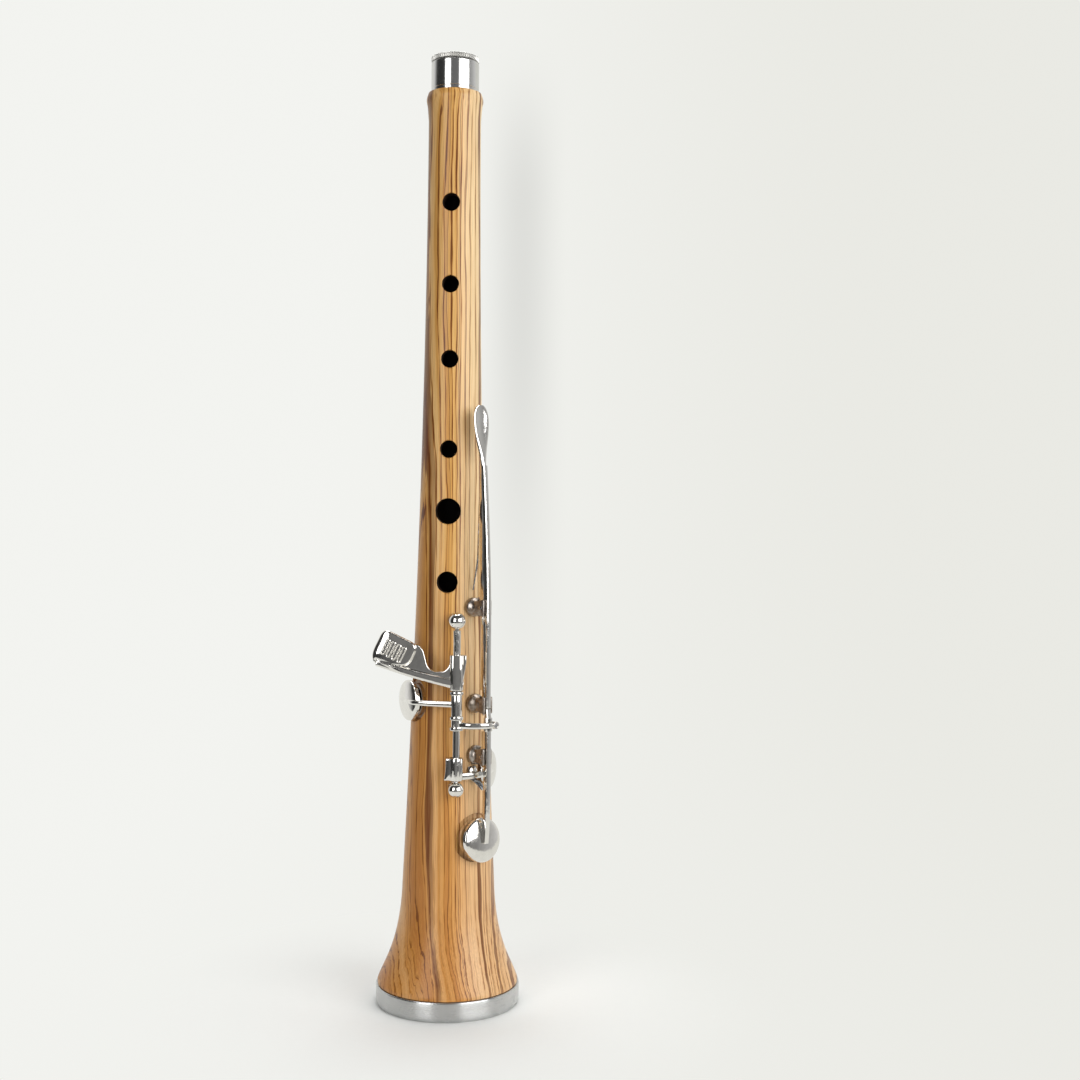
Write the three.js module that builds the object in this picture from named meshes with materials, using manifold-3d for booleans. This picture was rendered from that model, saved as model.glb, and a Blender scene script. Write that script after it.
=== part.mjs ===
// Keyed folk shawm in olive wood with polished nickel-silver keys.
// Millimetres, +Z up the bore, the bell standing on z = 0, finger holes facing -Y.
// Angles round the body run from the finger-hole line towards +X.

import * as THREE from 'three';
import { mergeVertices } from 'three/addons/utils/BufferGeometryUtils.js';
import Module from 'manifold-3d';

const wasm = await Module();
wasm.setup();

// Overall sizes and fits
const instrumentLength = 340;
const runningGap = 0.3;
const cutOverrun = 3;

// Facets of round forms
const bodySides = 36;
const holeSides = 16;
const cupSides = 20;
const rodSides = 12;
const pinSides = 8;
const barSides = 8;
const curveSteps = 5;
const cornerSteps = 2;

// Bell ring
const ringHeight = 7;
const ringDiameter = 51.5;
const ringWall = 1.2;
const ringFootThickness = 1.6;
const ringFootWidth = 3.4;
const ringRounding = 0.7;

// Wooden body, outside
const bellDiameter = 50.7;
const flareHeight = 43;
const coneFootDiameter = 33;
const waistDiameter = 18.8;
const waistDrop = 10;
const taperPowerShare = 1.85;
const beadDiameter = 20.4;
const beadDrop = 2.2;
const shoulderDiameter = 19.2;

// Wooden body, inside
const boreTopDiameter = 5.6;
const boreFootDiameter = 19.6;
const boreMouthDiameter = 42.6;

// Head: ferrule, tuning ring and staple socket
const headDiameter = 17.2;
const tuningRingHeight = 1.9;
const tuningRingSpigot = 2.2;
const tuningRingBore = 7.8;
const knurlTeeth = 44;
const knurlDepth = 0.3;
const ferruleHeight = 10.8;
const ferruleWall = 1.1;
const ferruleLipHeight = 1.6;
const ferruleLipWidth = 0.8;
const linerDiameter = 8.6;
const linerWall = 0.8;
const linerLength = 18;

// Finger holes and thumb hole
const fingerHoleDiameter = 6.2;
const fingerHoleWidthShares = [1.02, 0.98, 1, 1, 1.47, 1.21];
const fingerHoleHeightShares = [0.8415, 0.7559, 0.6774, 0.5832, 0.5185, 0.4447];
const thumbHoleDiameter = 6;
const thumbHoleAngle = 180;
const thumbHoleHeight = 299;
const holeChamfer = 0.45;

// Tone holes under the pads
const seatDrop = 1.3;
const seatRingWidth = 1.1;
const seatPocketDepth = 0.6;
const seatPocketMargin = 0.7;
const padProud = 0.5;
const padThickness = 1.5;
const padRounding = 0.35;
const cupWall = 0.55;
const cupHeight = 1.9;
const cupDome = 0.6;

// Hinge line of the two side keys
const hingeAngle = 13.6;
const hingeRadius = 18.9;
const upperPostRise = 11.8;
const lowerPostDrop = 11.2;
const upperBallDiameter = 5.8;
const lowerBallDiameter = 5.5;
const postNeckDiameter = 2.6;
const postCollarDiameter = 4.8;
const postCollarHeight = 0.8;
const postTenonDiameter = 2.2;
const postTenonLength = 3.6;
const keyRodDiameter = 2.6;
const barrelDiameter = 4.7;
const pivotScrewDiameter = 1.4;
const pivotScrewReach = 1;
const crossPinDiameter = 0.9;

// Little-finger key: touch, barrel and closed side cup
const touchBarrelRise = 0.4;
const touchBarrelLength = 12.3;
const touchReach = 22;
const touchCentreRise = 13.6;
const touchLength = 13.6;
const touchWidth = 11;
const touchTilt = 26;
const touchCorner = 2.4;
const touchThickness = 1.5;
const touchBevel = 0.6;
const touchRibs = 4;
const touchRibWidth = 1;
const touchRibRise = 0.45;
const touchWebThickness = 1.5;
const touchLipDiameter = 2.5;
const touchLipHubHeight = 3.4;
const touchLipProud = 0.7;
const touchLipFront = 1.1;
const touchLipSag = 0.7;
const touchEarWidth = 3.4;
const touchEarHeight = 9.4;
const armBarrelRise = 3.4;
const armBarrelLength = 7.8;
const armLeafReach = 1.8;
const sideCupAngle = 77;
const sideCupRise = 1.5;
const sideCupDiameter = 13.6;
const sideToneHoleDiameter = 8;
const sideArmHeight = 2.2;
const sideArmThickness = 1.4;
const sideArmBow = 2;

// Vent key: open cup on the left, arm to the low lever on the right
const ventSleeveDrop = 1.8;
const ventSleeveLength = 13.6;
const ventSleeveDiameter = 3.9;
const ventCollarDiameter = 4.8;
const ventCollarWidth = 1.3;
const ventCupAngle = -62.6;
const ventCupRise = 9;
const ventCupDiameter = 14.4;
const ventToneHoleDiameter = 8.6;
const ventOpenAngle = 6.4;
const ventArmHeight = 1.8;
const ventArmThickness = 1.5;
const ventArmBow = 1.2;
const linkArmHeight = 2.3;
const linkArmThickness = 1.5;
const linkBossDiameter = 2.6;
const linkBossLength = 2;
const linkScrewDiameter = 1.3;
const linkOffsetAngle = 2.7;

// Levers in the radial plane on the right
const leverAngle = 44;
const leverThickness = 1.8;
const leverBarDepth = 2;
const leverPinDiameter = 1.5;
const longLeverPivotHeight = 142.4;
const longLeverPivotRise = 6.9;
const longLeverCrownRise = 9.9;
const longTongueDrop = 2.6;
const longLeverTouchRise = 66;
const longTouchLength = 21.3;
const longTouchWidth = 6.6;
const longTouchThickness = 1.7;
const longTouchStandOff = 6.3;
const longTouchDish = 0.45;
const longWebDepth = 5.6;
const longWaistDepth = 4.5;
const longTailDepth = 3.7;
const guideLugDepth = 4.2;
const guideLugRise = 5.2;
const lowLeverPivotHeight = 90.3;
const lowLeverPivotRise = 5.7;
const lowLeverCrownRise = 8.3;
const lowLeverTipRise = 16.8;
const lowLeverBlockRise = 11.4;
const lowLeverBlockHeight = 4.9;
const lowLeverBlockDepth = 1.5;
const lowLeverBlockWidth = 3;
const lowLeverOpenAngle = 5.9;
const lowCupAngle = 44.4;
const lowCupDrop = 29.2;
const lowCupDiameter = 15.6;
const lowToneHoleDiameter = 9.4;
const lowWebDepth = 3.2;
const lowWaistDepth = 4.6;

// Forked posts
const forkBaseDiameter = 6.8;
const forkBaseHeight = 0.9;
const forkNeckDiameter = 4.4;
const forkEarThickness = 0.7;
const forkHeadWidth = 6;
const forkHeadRise = 1.8;
const guidePostRise = 1;
const forkCornerRounding = 0.8;

// Leaf springs
const springThickness = 0.4;
const springWidth = 1.8;
const needleSpringWidth = 0.8;
const eyeSpringWidth = 3.2;
const springBow = 0.9;
const springStudAngle = 38;
const springStudDrop = 5.7;
const springStudDiameter = 3.6;
const springStudShank = 1.2;
const springStudRise = 0.6;
const touchSpringRoot = 0;
const touchSpringTip = -26;
const touchSpringRise = 2.7;
const ventSpringRoot = 0;
const ventSpringTip = -21;
const longSpringRoot = 29.6;
const longSpringTip = 6.1;
const lowSpringReach = 6;

// Shares of the sizes above, along and across the outlines
const flareFootShares = [0.16, 0.16];
const flareTopShares = [0.07, 0.36];
const domePowerShare = 0.8;
const touchPinShare = 0.72;
const armPinShare = 0.7;
const touchRibSpreadShare = 0.62;
const touchRibLengthShare = 0.58;
const touchPlateShares = [[0.5, 0.5], [-0.5, 0.5], [-0.5, -0.4], [-0.33, -0.69], [0.52, -0.24]];
const touchLipShares = [-0.25, -0.6];
const touchWebRootShares = [0.1, 0.4];
const touchWebEdgeShares = [[0.609, 1.27], [0.541, 1.13], [0.5, 0.9], [0.464, 0.68],
  [0.39, 0.55], [0.295, 0.52], [0.2, 0.545], [0.135, 0.66], [0.105, 0.84], [0.09, 1]];
const touchLipHubShares = [0.5, 0.6];
const sideArmEdgeShare = 0.45;
const armTaperShares = [1.25, 0.8];
const armThinningShares = [1.1, 0.8];
const armLeafShares = [0.7, 0.12];
const ventCollarShares = [0, 0.3, 1];
const ventArmEdgeShares = [0.47, 0, -0.22];
const ventTaperShares = [1.3, 0.7];
const linkPlaceShares = [0.36, 0.7, 1];
const longRootShare = 0.745;
const longRootRadiusShare = 0.45;
const longEdgeShares = [0.4, 0.48, 0.72];
const longTouchLineShares = [[0.1, -0.25], [-0.1, 0], [-0.45, 0.25]];
const touchWidestShare = 0.76;
const lowEdgeShares = [0.35, 1.1, 0.75, 0.7];
const longTailShares = [0.165, 0.293, 0.147, 0.073];
const tongueShares = [0.7, 0.8];
const forkStemShares = [0.86, 0.6, 0.35];
const springNarrowingShare = 0.6;
const cornerLimitShare = 0.45;
const lowSpringShares = [0.4, 0.55];

// Heights that follow from the low lever's pivot: its cup and stud, the vent key it lifts,
// the long lever that presses it, and the posts and barrels of the hinge line
const lowCupHeight = lowLeverPivotHeight - lowCupDrop;
const springStudHeight = lowLeverPivotHeight - springStudDrop;
const linkHeight = lowLeverPivotHeight + lowLeverBlockRise;
const ventSleeveFoot = linkHeight - ventSleeveDrop;
const ventCupHeight = ventSleeveFoot + ventCupRise;
const touchBarrelFoot = ventSleeveFoot + ventSleeveLength + touchBarrelRise;
const touchCentreHeight = touchBarrelFoot + touchCentreRise;
const touchSpringHeight = touchBarrelFoot + touchSpringRise;
const upperPostHeight = touchBarrelFoot + touchBarrelLength + upperPostRise;
const lowerPostHeight = lowLeverPivotHeight - lowerPostDrop;
const armBarrelFoot = lowerPostHeight + armBarrelRise;
const sideCupHeight = armBarrelFoot + sideCupRise;
const longLeverFoot = lowLeverPivotHeight + lowLeverTipRise + runningGap;
const guidePostHeight = longLeverFoot + guidePostRise;
const guideLugFoot = guidePostHeight + guideLugRise;

// Finishes
const wood = { color: 0xc9924f, roughness: 0.45, metalness: 0 };
const polished = { color: 0xc9c6be, roughness: 0.12, metalness: 1 };
const satin = { color: 0xb4b4b1, roughness: 0.35, metalness: 1 };
const steel = { color: 0x9fa1a3, roughness: 0.2, metalness: 1 };
const brass = { color: 0xb99a55, roughness: 0.3, metalness: 1 };
const leather = { color: 0x3a2118, roughness: 0.8, metalness: 0 };

// Vectors and frames
const along = (x, y, z = 0) => new THREE.Vector3(x, y, z);
const point = (r, z) => new THREE.Vector2(r, z);
const radians = THREE.MathUtils.degToRad;
const upward = along(0, 0, 1);
const outwardAt = (angle) => along(Math.sin(radians(angle)), -Math.cos(radians(angle)));
const tangentAt = (angle) => along(Math.cos(radians(angle)), Math.sin(radians(angle)));

// Local X round the body, Y up, Z out of the body.
function seatFrame(angle, height) {
  return new THREE.Matrix4()
    .makeBasis(tangentAt(angle), upward, outwardAt(angle))
    .setPosition(0, 0, height);
}

// Local X out of the body, Y up, Z across the lever: outlines are drawn as radius and height.
function planeFrame(angle) {
  return new THREE.Matrix4()
    .makeBasis(outwardAt(angle), upward, tangentAt(angle).negate());
}

// Local X to the right, Y up, Z to the front, with the hinge axis in the plane z = 0.
function frontFrame(hinge) {
  return new THREE.Matrix4()
    .makeBasis(along(1, 0, 0), upward, along(0, -1, 0))
    .setPosition(0, hinge.y, 0);
}

// Closed meshes, and the solids that join and cut them
function weld(geometry) {
  const bare = geometry.clone();
  bare.deleteAttribute('normal');
  bare.deleteAttribute('uv');
  const merged = mergeVertices(bare);
  const corners = merged.index.array;
  const kept = [];
  for (let i = 0; i < corners.length; i += 3) {
    const [a, b, c] = corners.subarray(i, i + 3);
    if (a !== b && b !== c && c !== a) kept.push(a, b, c);
  }
  merged.setIndex(kept);
  if (signedVolume(merged) < 0) turnInsideOut(merged);
  return merged;
}

function signedVolume(geometry) {
  const place = geometry.attributes.position;
  const corners = geometry.index.array;
  const [a, b, c] = [along(0, 0), along(0, 0), along(0, 0)];
  let sum = 0;
  for (let i = 0; i < corners.length; i += 3) {
    a.fromBufferAttribute(place, corners[i]);
    b.fromBufferAttribute(place, corners[i + 1]);
    c.fromBufferAttribute(place, corners[i + 2]);
    sum += a.dot(b.cross(c));
  }
  return sum;
}

function turnInsideOut(geometry) {
  const corners = geometry.index.array;
  for (let i = 0; i < corners.length; i += 3) {
    [corners[i + 1], corners[i + 2]] = [corners[i + 2], corners[i + 1]];
  }
}

function solid(geometry, frame) {
  const placed = geometry.clone();
  if (frame) placed.applyMatrix4(frame);
  const mesh = weld(placed);
  return new wasm.Manifold(new wasm.Mesh({
    numProp: 3,
    vertProperties: new Float32Array(mesh.attributes.position.array),
    triVerts: new Uint32Array(mesh.index.array),
  }));
}

function joined(...solids) {
  return solids.reduce((whole, next) => whole.add(next));
}

function cutBy(whole, ...cutters) {
  return cutters.reduce((left, cutter) => left.subtract(cutter), whole);
}

function surface(manifold) {
  const mesh = manifold.getMesh();
  const geometry = new THREE.BufferGeometry();
  geometry.setAttribute('position', new THREE.BufferAttribute(mesh.vertProperties, 3));
  geometry.setIndex(new THREE.BufferAttribute(mesh.triVerts, 1));
  geometry.computeVertexNormals();
  return geometry;
}

// Basic forms
function turned(points, sides) {
  return new THREE.LatheGeometry([...points, points[0]], sides).rotateX(Math.PI / 2);
}

function rod(radius, from, to, sides) {
  return turned([point(0, from), point(radius, from), point(radius, to), point(0, to)], sides);
}

function extruded(shape, depth, bevel = 0) {
  const geometry = new THREE.ExtrudeGeometry(shape, {
    depth: depth - 2 * bevel,
    bevelEnabled: bevel > 0,
    bevelThickness: bevel,
    bevelSize: bevel,
    bevelOffset: -bevel,
    bevelSegments: cornerSteps,
    curveSegments: cornerSteps,
  });
  return geometry.translate(0, 0, bevel - depth / 2);
}

function roundedRectangle(width, height, corner) {
  const [w, h] = [width / 2, height / 2];
  const r = Math.min(corner, w, h);
  const shape = new THREE.Shape();
  shape.moveTo(r - w, -h);
  shape.lineTo(w - r, -h);
  shape.absarc(w - r, r - h, r, -Math.PI / 2, 0);
  shape.lineTo(w, h - r);
  shape.absarc(w - r, h - r, r, 0, Math.PI / 2);
  shape.lineTo(r - w, h);
  shape.absarc(r - w, h - r, r, Math.PI / 2, Math.PI);
  shape.lineTo(-w, r - h);
  shape.absarc(r - w, r - h, r, Math.PI, 3 * Math.PI / 2);
  return shape;
}

function roundedPolygon(corners, radius) {
  const shape = new THREE.Shape();
  corners.forEach((corner, i) => {
    const [start, end] = [corners.at(i - 1), corners[(i + 1) % corners.length]].map((next) => {
      const share = Math.min(radius / corner.distanceTo(next), cornerLimitShare);
      return corner.clone().lerp(next, share);
    });
    shape[i ? 'lineTo' : 'moveTo'](start.x, start.y);
    shape.quadraticCurveTo(corner.x, corner.y, end.x, end.y);
  });
  return shape;
}

// A bar swept along a curve: its height lies along a fixed axis, its thickness across it.
// The outer face can be dished.
function swept(curve, steps, axis, sectionAt, sides = barSides) {
  const corners = [];
  const faces = [];
  for (let i = 0; i <= steps; i += 1) {
    const t = i / steps;
    const { height, thickness, dish = 0 } = sectionAt(t);
    const centre = curve.getPointAt(t);
    const across = curve.getTangentAt(t).cross(axis).normalize();
    for (let j = 0; j < sides; j += 1) {
      const turn = 2 * Math.PI * (j + 0.5) / sides;
      const [c, s] = [squared(Math.cos(turn)), squared(Math.sin(turn))];
      const dip = s > 0 ? dish * (1 - c * c) : 0;
      corners.push(centre.clone()
        .addScaledVector(axis, c * height / 2)
        .addScaledVector(across, s * thickness / 2 - dip));
    }
  }
  for (let i = 0; i < steps; i += 1) {
    for (let j = 0; j < sides; j += 1) {
      const k = (j + 1) % sides;
      const [a, b] = [i * sides + j, i * sides + k];
      faces.push(a, b, b + sides, a, b + sides, a + sides);
    }
  }
  for (let j = 1; j < sides - 1; j += 1) {
    const last = steps * sides;
    faces.push(0, j + 1, j, last, last + j, last + j + 1);
  }
  const geometry = new THREE.BufferGeometry().setFromPoints(corners);
  geometry.setIndex(faces);
  return geometry;
}

function squared(value) {
  const cornerPowerShare = 0.7;
  return Math.sign(value) * Math.abs(value) ** cornerPowerShare;
}

// Body radius at a height on the cone
function waistHeight() {
  return shoulderHeight() - waistDrop;
}

function shoulderHeight() {
  return instrumentLength - tuningRingHeight - ferruleHeight - 2 * runningGap;
}

function bodyRadius(height) {
  const share = (waistHeight() - height) / (waistHeight() - flareHeight);
  const spread = (coneFootDiameter - waistDiameter) / 2;
  return waistDiameter / 2 + spread * Math.max(share, 0) ** taperPowerShare;
}

function boreRadius(height) {
  const share = (shoulderHeight() - height) / (shoulderHeight() - flareHeight);
  return THREE.MathUtils.lerp(boreTopDiameter / 2, boreFootDiameter / 2, share);
}

function curvePoints(curve, steps) {
  return curve.getPoints(steps).map((p) => point(p.x, p.y));
}

// The turned body: flared foot, hollow cone, bead, tenon, socket and bore
function bodyBlank() {
  const footHeight = ringFootThickness + runningGap;
  const rebate = ringDiameter / 2 - ringWall - runningGap;
  const step = ringHeight + runningGap;
  const bell = bellDiameter / 2;
  const cone = coneFootDiameter / 2;
  const flareRun = flareHeight - step;
  const flareSpread = bell - cone;
  const flare = new THREE.CubicBezierCurve(
    point(bell, step),
    point(bell - flareSpread * flareFootShares[0], step + flareRun * flareFootShares[1]),
    point(cone + flareSpread * flareTopShares[0], step + flareRun * flareTopShares[1]),
    point(cone, flareHeight),
  );
  const outside = [point(boreMouthDiameter / 2, footHeight), point(rebate, footHeight),
    point(rebate, step), ...curvePoints(flare, curveSteps + 3)];
  const coneSteps = 7;
  for (let i = 1; i <= coneSteps; i += 1) {
    const height = THREE.MathUtils.lerp(flareHeight, waistHeight(), i / coneSteps);
    outside.push(point(bodyRadius(height), height));
  }
  const shoulder = shoulderHeight();
  const bead = new THREE.SplineCurve([
    point(waistDiameter / 2, waistHeight()),
    point((waistDiameter + beadDiameter) / 4, shoulder - waistDrop / 2),
    point(beadDiameter / 2, shoulder - beadDrop),
    point(shoulderDiameter / 2, shoulder),
  ]);
  outside.push(...curvePoints(bead, curveSteps + 1).slice(1));
  const tenon = headDiameter / 2 - ferruleWall - runningGap;
  const tenonTop = tenonHeight();
  const socket = linerDiameter / 2 + runningGap;
  const socketFloor = tenonTop - linerLength - runningGap;
  const boreFlare = new THREE.QuadraticBezierCurve(
    point(boreFootDiameter / 2, flareHeight),
    point(boreFootDiameter / 2 + boreRadius(0) - boreRadius(flareHeight), flareHeight / 3),
    point(boreMouthDiameter / 2, footHeight),
  );
  const inside = [point(tenon, shoulder), point(tenon, tenonTop), point(socket, tenonTop),
    point(socket, socketFloor), point(boreRadius(socketFloor), socketFloor),
    ...curvePoints(boreFlare, curveSteps)];
  return solid(turned([...outside, ...inside.slice(0, -1)], bodySides));
}

function tenonHeight() {
  const lipFoot = shoulderHeight() + runningGap + ferruleHeight - ferruleLipHeight;
  return lipFoot - runningGap;
}

// A drilled hole with a broken edge at the body's surface
function drilled(diameter, angle, height) {
  const skin = bodyRadius(height);
  const r = diameter / 2;
  const profile = [point(0, 0), point(r, 0), point(r, skin - holeChamfer),
    point(r + 2 * holeChamfer, skin + holeChamfer),
    point(r + 2 * holeChamfer, skin + cutOverrun), point(0, skin + cutOverrun)];
  return solid(turned(profile, holeSides), seatFrame(angle, height));
}

// Where each pad closes: the height of its seat over the bore axis
function seatRadius(height) {
  return bodyRadius(height) - seatDrop;
}

// A tone hole with a raised seat in a flat-bottomed pocket
function toneHole(holeDiameter, cupDiameter, angle, height) {
  const seat = seatRadius(height);
  const top = bodyRadius(height) + cutOverrun;
  const lip = holeDiameter / 2 + seatRingWidth;
  const pocket = cupDiameter / 2 + seatPocketMargin;
  const floor = seat - seatPocketDepth;
  const recess = [point(0, seat), point(lip, seat), point(lip + seatPocketDepth, floor),
    point(pocket, floor), point(pocket, top), point(0, top)];
  const frame = seatFrame(angle, height);
  return joined(
    solid(turned(recess, cupSides), frame),
    solid(rod(holeDiameter / 2, 0, seat + cutOverrun, cupSides), frame),
  );
}

// A blind hole for the tenon of a post
function tenonHole(angle, height) {
  const bottom = bodyRadius(height) - postTenonLength - runningGap;
  const r = postTenonDiameter / 2 + runningGap;
  const top = bodyRadius(height) + cutOverrun;
  return solid(rod(r, bottom, top, pinSides), seatFrame(angle, height));
}

function woodenBody() {
  const holes = fingerHoleHeightShares.map((share, i) => drilled(
    fingerHoleDiameter * fingerHoleWidthShares[i], 0, instrumentLength * share,
  ));
  const postHoles = [
    [hingeAngle, upperPostHeight], [hingeAngle, lowerPostHeight],
    [leverAngle, longLeverPivotHeight], [leverAngle, guidePostHeight],
    [leverAngle, lowLeverPivotHeight], [springStudAngle, springStudHeight],
  ].map(([angle, height]) => tenonHole(angle, height));
  return cutBy(
    bodyBlank(),
    ...holes,
    drilled(thumbHoleDiameter, thumbHoleAngle, thumbHoleHeight),
    toneHole(sideToneHoleDiameter, sideCupDiameter, sideCupAngle, sideCupHeight),
    toneHole(ventToneHoleDiameter, ventCupDiameter, ventCupAngle, ventCupHeight),
    toneHole(lowToneHoleDiameter, lowCupDiameter, lowCupAngle, lowCupHeight),
    ...postHoles,
  );
}

// Ring round the foot of the bell, with a lip under the wood
function bellRing() {
  const outer = ringDiameter / 2;
  const inner = outer - ringWall;
  const lip = outer - ringFootWidth;
  return solid(turned([
    point(lip, 0), point(outer - ringRounding, 0), point(outer - ringRounding / 4, ringRounding),
    point(outer, ringHeight / 3), point(outer, ringHeight - ringRounding),
    point(outer - ringRounding / 2, ringHeight), point(inner, ringHeight),
    point(inner, ringFootThickness), point(lip, ringFootThickness),
  ], bodySides));
}

// Sleeve over the tenon, drawn in at the top to hold the tuning ring
function topFerrule() {
  const foot = shoulderHeight() + runningGap;
  const top = foot + ferruleHeight;
  const outer = headDiameter / 2;
  const inner = outer - ferruleWall;
  const lip = inner - ferruleLipWidth;
  const edge = ferruleWall / 3;
  return solid(turned([
    point(inner, foot), point(outer, foot), point(outer, top - edge), point(outer - edge, top),
    point(lip, top), point(lip, top - ferruleLipHeight), point(inner, top - ferruleLipHeight),
  ], bodySides));
}

// Knurled ring that turns on the ferrule, with a spigot through the ferrule's lip
function tuningRing() {
  const foot = instrumentLength - tuningRingHeight;
  const rim = headDiameter / 2 - knurlDepth;
  const spigot = headDiameter / 2 - ferruleWall - ferruleLipWidth - runningGap;
  const hole = tuningRingBore / 2;
  const spigotFoot = foot - Math.min(tuningRingSpigot, ferruleLipHeight + runningGap);
  const ring = solid(turned([
    point(hole, spigotFoot), point(spigot, spigotFoot), point(spigot, foot), point(rim, foot),
    point(rim, instrumentLength - knurlDepth), point(rim - knurlDepth, instrumentLength),
    point(hole + knurlDepth, instrumentLength), point(hole, instrumentLength - knurlDepth),
  ], bodySides));
  const toothed = new THREE.Shape();
  for (let i = 0; i < 2 * knurlTeeth; i += 1) {
    const reach = headDiameter / 2 - (i % 2 ? knurlDepth : 0);
    const turn = Math.PI * i / knurlTeeth;
    toothed[i ? 'lineTo' : 'moveTo'](reach * Math.cos(turn), reach * Math.sin(turn));
  }
  const band = tuningRingHeight - 2 * knurlDepth;
  const bore = new THREE.Path().absarc(0, 0, rim - knurlDepth, 0, 2 * Math.PI);
  toothed.holes.push(bore);
  const lift = new THREE.Matrix4().makeTranslation(0, 0, foot + knurlDepth + band / 2);
  return joined(ring, solid(extruded(toothed, band), lift));
}

// Tube that takes the staple of the reed
function socketLiner() {
  const top = tenonHeight();
  const outer = linerDiameter / 2;
  const inner = outer - linerWall;
  return solid(turned([
    point(inner, top - linerLength), point(outer, top - linerLength),
    point(outer, top), point(inner, top),
  ], cupSides));
}

// The hinge axis of the side keys
const hinge = outwardAt(hingeAngle).multiplyScalar(hingeRadius);
const hingeLine = new THREE.Matrix4().makeTranslation(hinge.x, hinge.y, 0);

// Ball-headed post: tenon, collar, waisted neck and drilled ball
function ballPost(height, ballDiameter) {
  const skin = bodyRadius(height - postCollarDiameter / 2) + runningGap;
  const ball = ballDiameter / 2;
  const neck = Math.min(postNeckDiameter, ballDiameter) / 2;
  const collar = postCollarDiameter / 2;
  const tenon = postTenonDiameter / 2;
  const profile = [point(0, skin - postTenonLength), point(tenon, skin - postTenonLength),
    point(tenon, skin), point(collar, skin), point(collar, skin + postCollarHeight / 2),
    point(neck, skin + postCollarHeight)];
  const ballSteps = 9;
  const start = Math.asin(neck / ball);
  for (let i = 0; i <= ballSteps; i += 1) {
    const turn = THREE.MathUtils.lerp(start, Math.PI, i / ballSteps);
    profile.push(point(ball * Math.sin(turn), hingeRadius - ball * Math.cos(turn)));
  }
  const drill = rod(pivotScrewDiameter / 2 + runningGap, -ball - cutOverrun, ball + cutOverrun,
    pinSides).translate(hinge.x, hinge.y, height);
  return cutBy(solid(turned(profile, rodSides), seatFrame(hingeAngle, height)), solid(drill));
}

// Pointed screw through a ball, its point in the end of the key rod
function pivotScrew(height, ballDiameter, direction) {
  const r = pivotScrewDiameter / 2;
  const ball = ballDiameter / 2;
  const tip = ball + runningGap + pivotScrewReach;
  const profile = [point(0, -ball), point(r, -ball), point(r, ball), point(0, tip)];
  const screw = turned(profile, pinSides);
  if (direction < 0) screw.rotateX(Math.PI);
  return solid(screw.translate(hinge.x, hinge.y, height));
}

// Ends of the key rod, just clear of the two balls
const rodTop = upperPostHeight - upperBallDiameter / 2 - runningGap;
const rodFoot = lowerPostHeight + lowerBallDiameter / 2 + runningGap;

function keyRod() {
  const r = keyRodDiameter / 2;
  const mouth = pivotScrewDiameter / 2 + runningGap;
  const depth = pivotScrewReach + 2 * runningGap;
  const bar = solid(turned([
    point(0, rodFoot + depth), point(mouth, rodFoot), point(r, rodFoot),
    point(r, rodTop), point(mouth, rodTop), point(0, rodTop - depth),
  ], rodSides), hingeLine);
  return cutBy(bar, pinBore(touchPinHeight), pinBore(armPinHeight));
}

const touchPinHeight = touchBarrelFoot + touchBarrelLength * touchPinShare;
const armPinHeight = armBarrelFoot + armBarrelLength * armPinShare;

// The cross pins go in from behind, and stop short of the front of the barrel.
function pinBore(height) {
  const r = crossPinDiameter / 2 + runningGap;
  const front = keyRodDiameter / 2 + 2 * runningGap;
  const drill = rod(r, -barrelDiameter - cutOverrun, front, pinSides)
    .applyMatrix4(seatFrame(hingeAngle, height));
  return solid(drill.translate(hinge.x, hinge.y, 0));
}

// Pin that fixes a barrel to the key rod
function crossPin(height) {
  const front = keyRodDiameter / 2 + runningGap;
  const pin = rod(crossPinDiameter / 2, -barrelDiameter / 2, front, pinSides);
  return solid(pin.applyMatrix4(seatFrame(hingeAngle, height)).translate(hinge.x, hinge.y, 0));
}

function rodBore(foot, length) {
  const bore = rod(keyRodDiameter / 2 + runningGap, foot - cutOverrun,
    foot + length + cutOverrun, rodSides);
  return solid(bore, hingeLine);
}

// Padded cup: a shallow domed dish, its rim in the plane z = 0
function padCup(diameter) {
  const r = diameter / 2;
  const inner = r - cupWall;
  const well = padThickness - padProud + runningGap;
  const domeSteps = 4;
  const profile = [point(0, well), point(inner, well), point(inner, 0), point(r, 0),
    point(r, cupHeight / 2)];
  for (let i = 1; i <= domeSteps; i += 1) {
    const turn = (Math.PI / 2) * i / domeSteps;
    const rise = (cupHeight / 2 + cupDome) * Math.sin(turn) ** domePowerShare;
    profile.push(point(r * Math.cos(turn), cupHeight / 2 + rise));
  }
  return turned(profile, cupSides);
}

function padDisc(diameter) {
  const r = diameter / 2 - cupWall - runningGap;
  const top = padThickness - padProud;
  return turned([point(0, -padProud), point(r - padRounding, -padProud),
    point(r, padRounding - padProud), point(r, top), point(0, top)], cupSides);
}

// The frame of a cup's rim when its key is closed
function closedRim(angle, height) {
  const rim = seatRadius(height) + runningGap + padProud;
  return seatFrame(angle, height).multiply(new THREE.Matrix4().makeTranslation(0, 0, rim));
}

// A point on the back of a cup, so far round the body from its centre
function cupBack(frame, aside = 0) {
  return along(aside, 0, cupHeight + cupDome / 2).applyMatrix4(frame);
}

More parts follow.
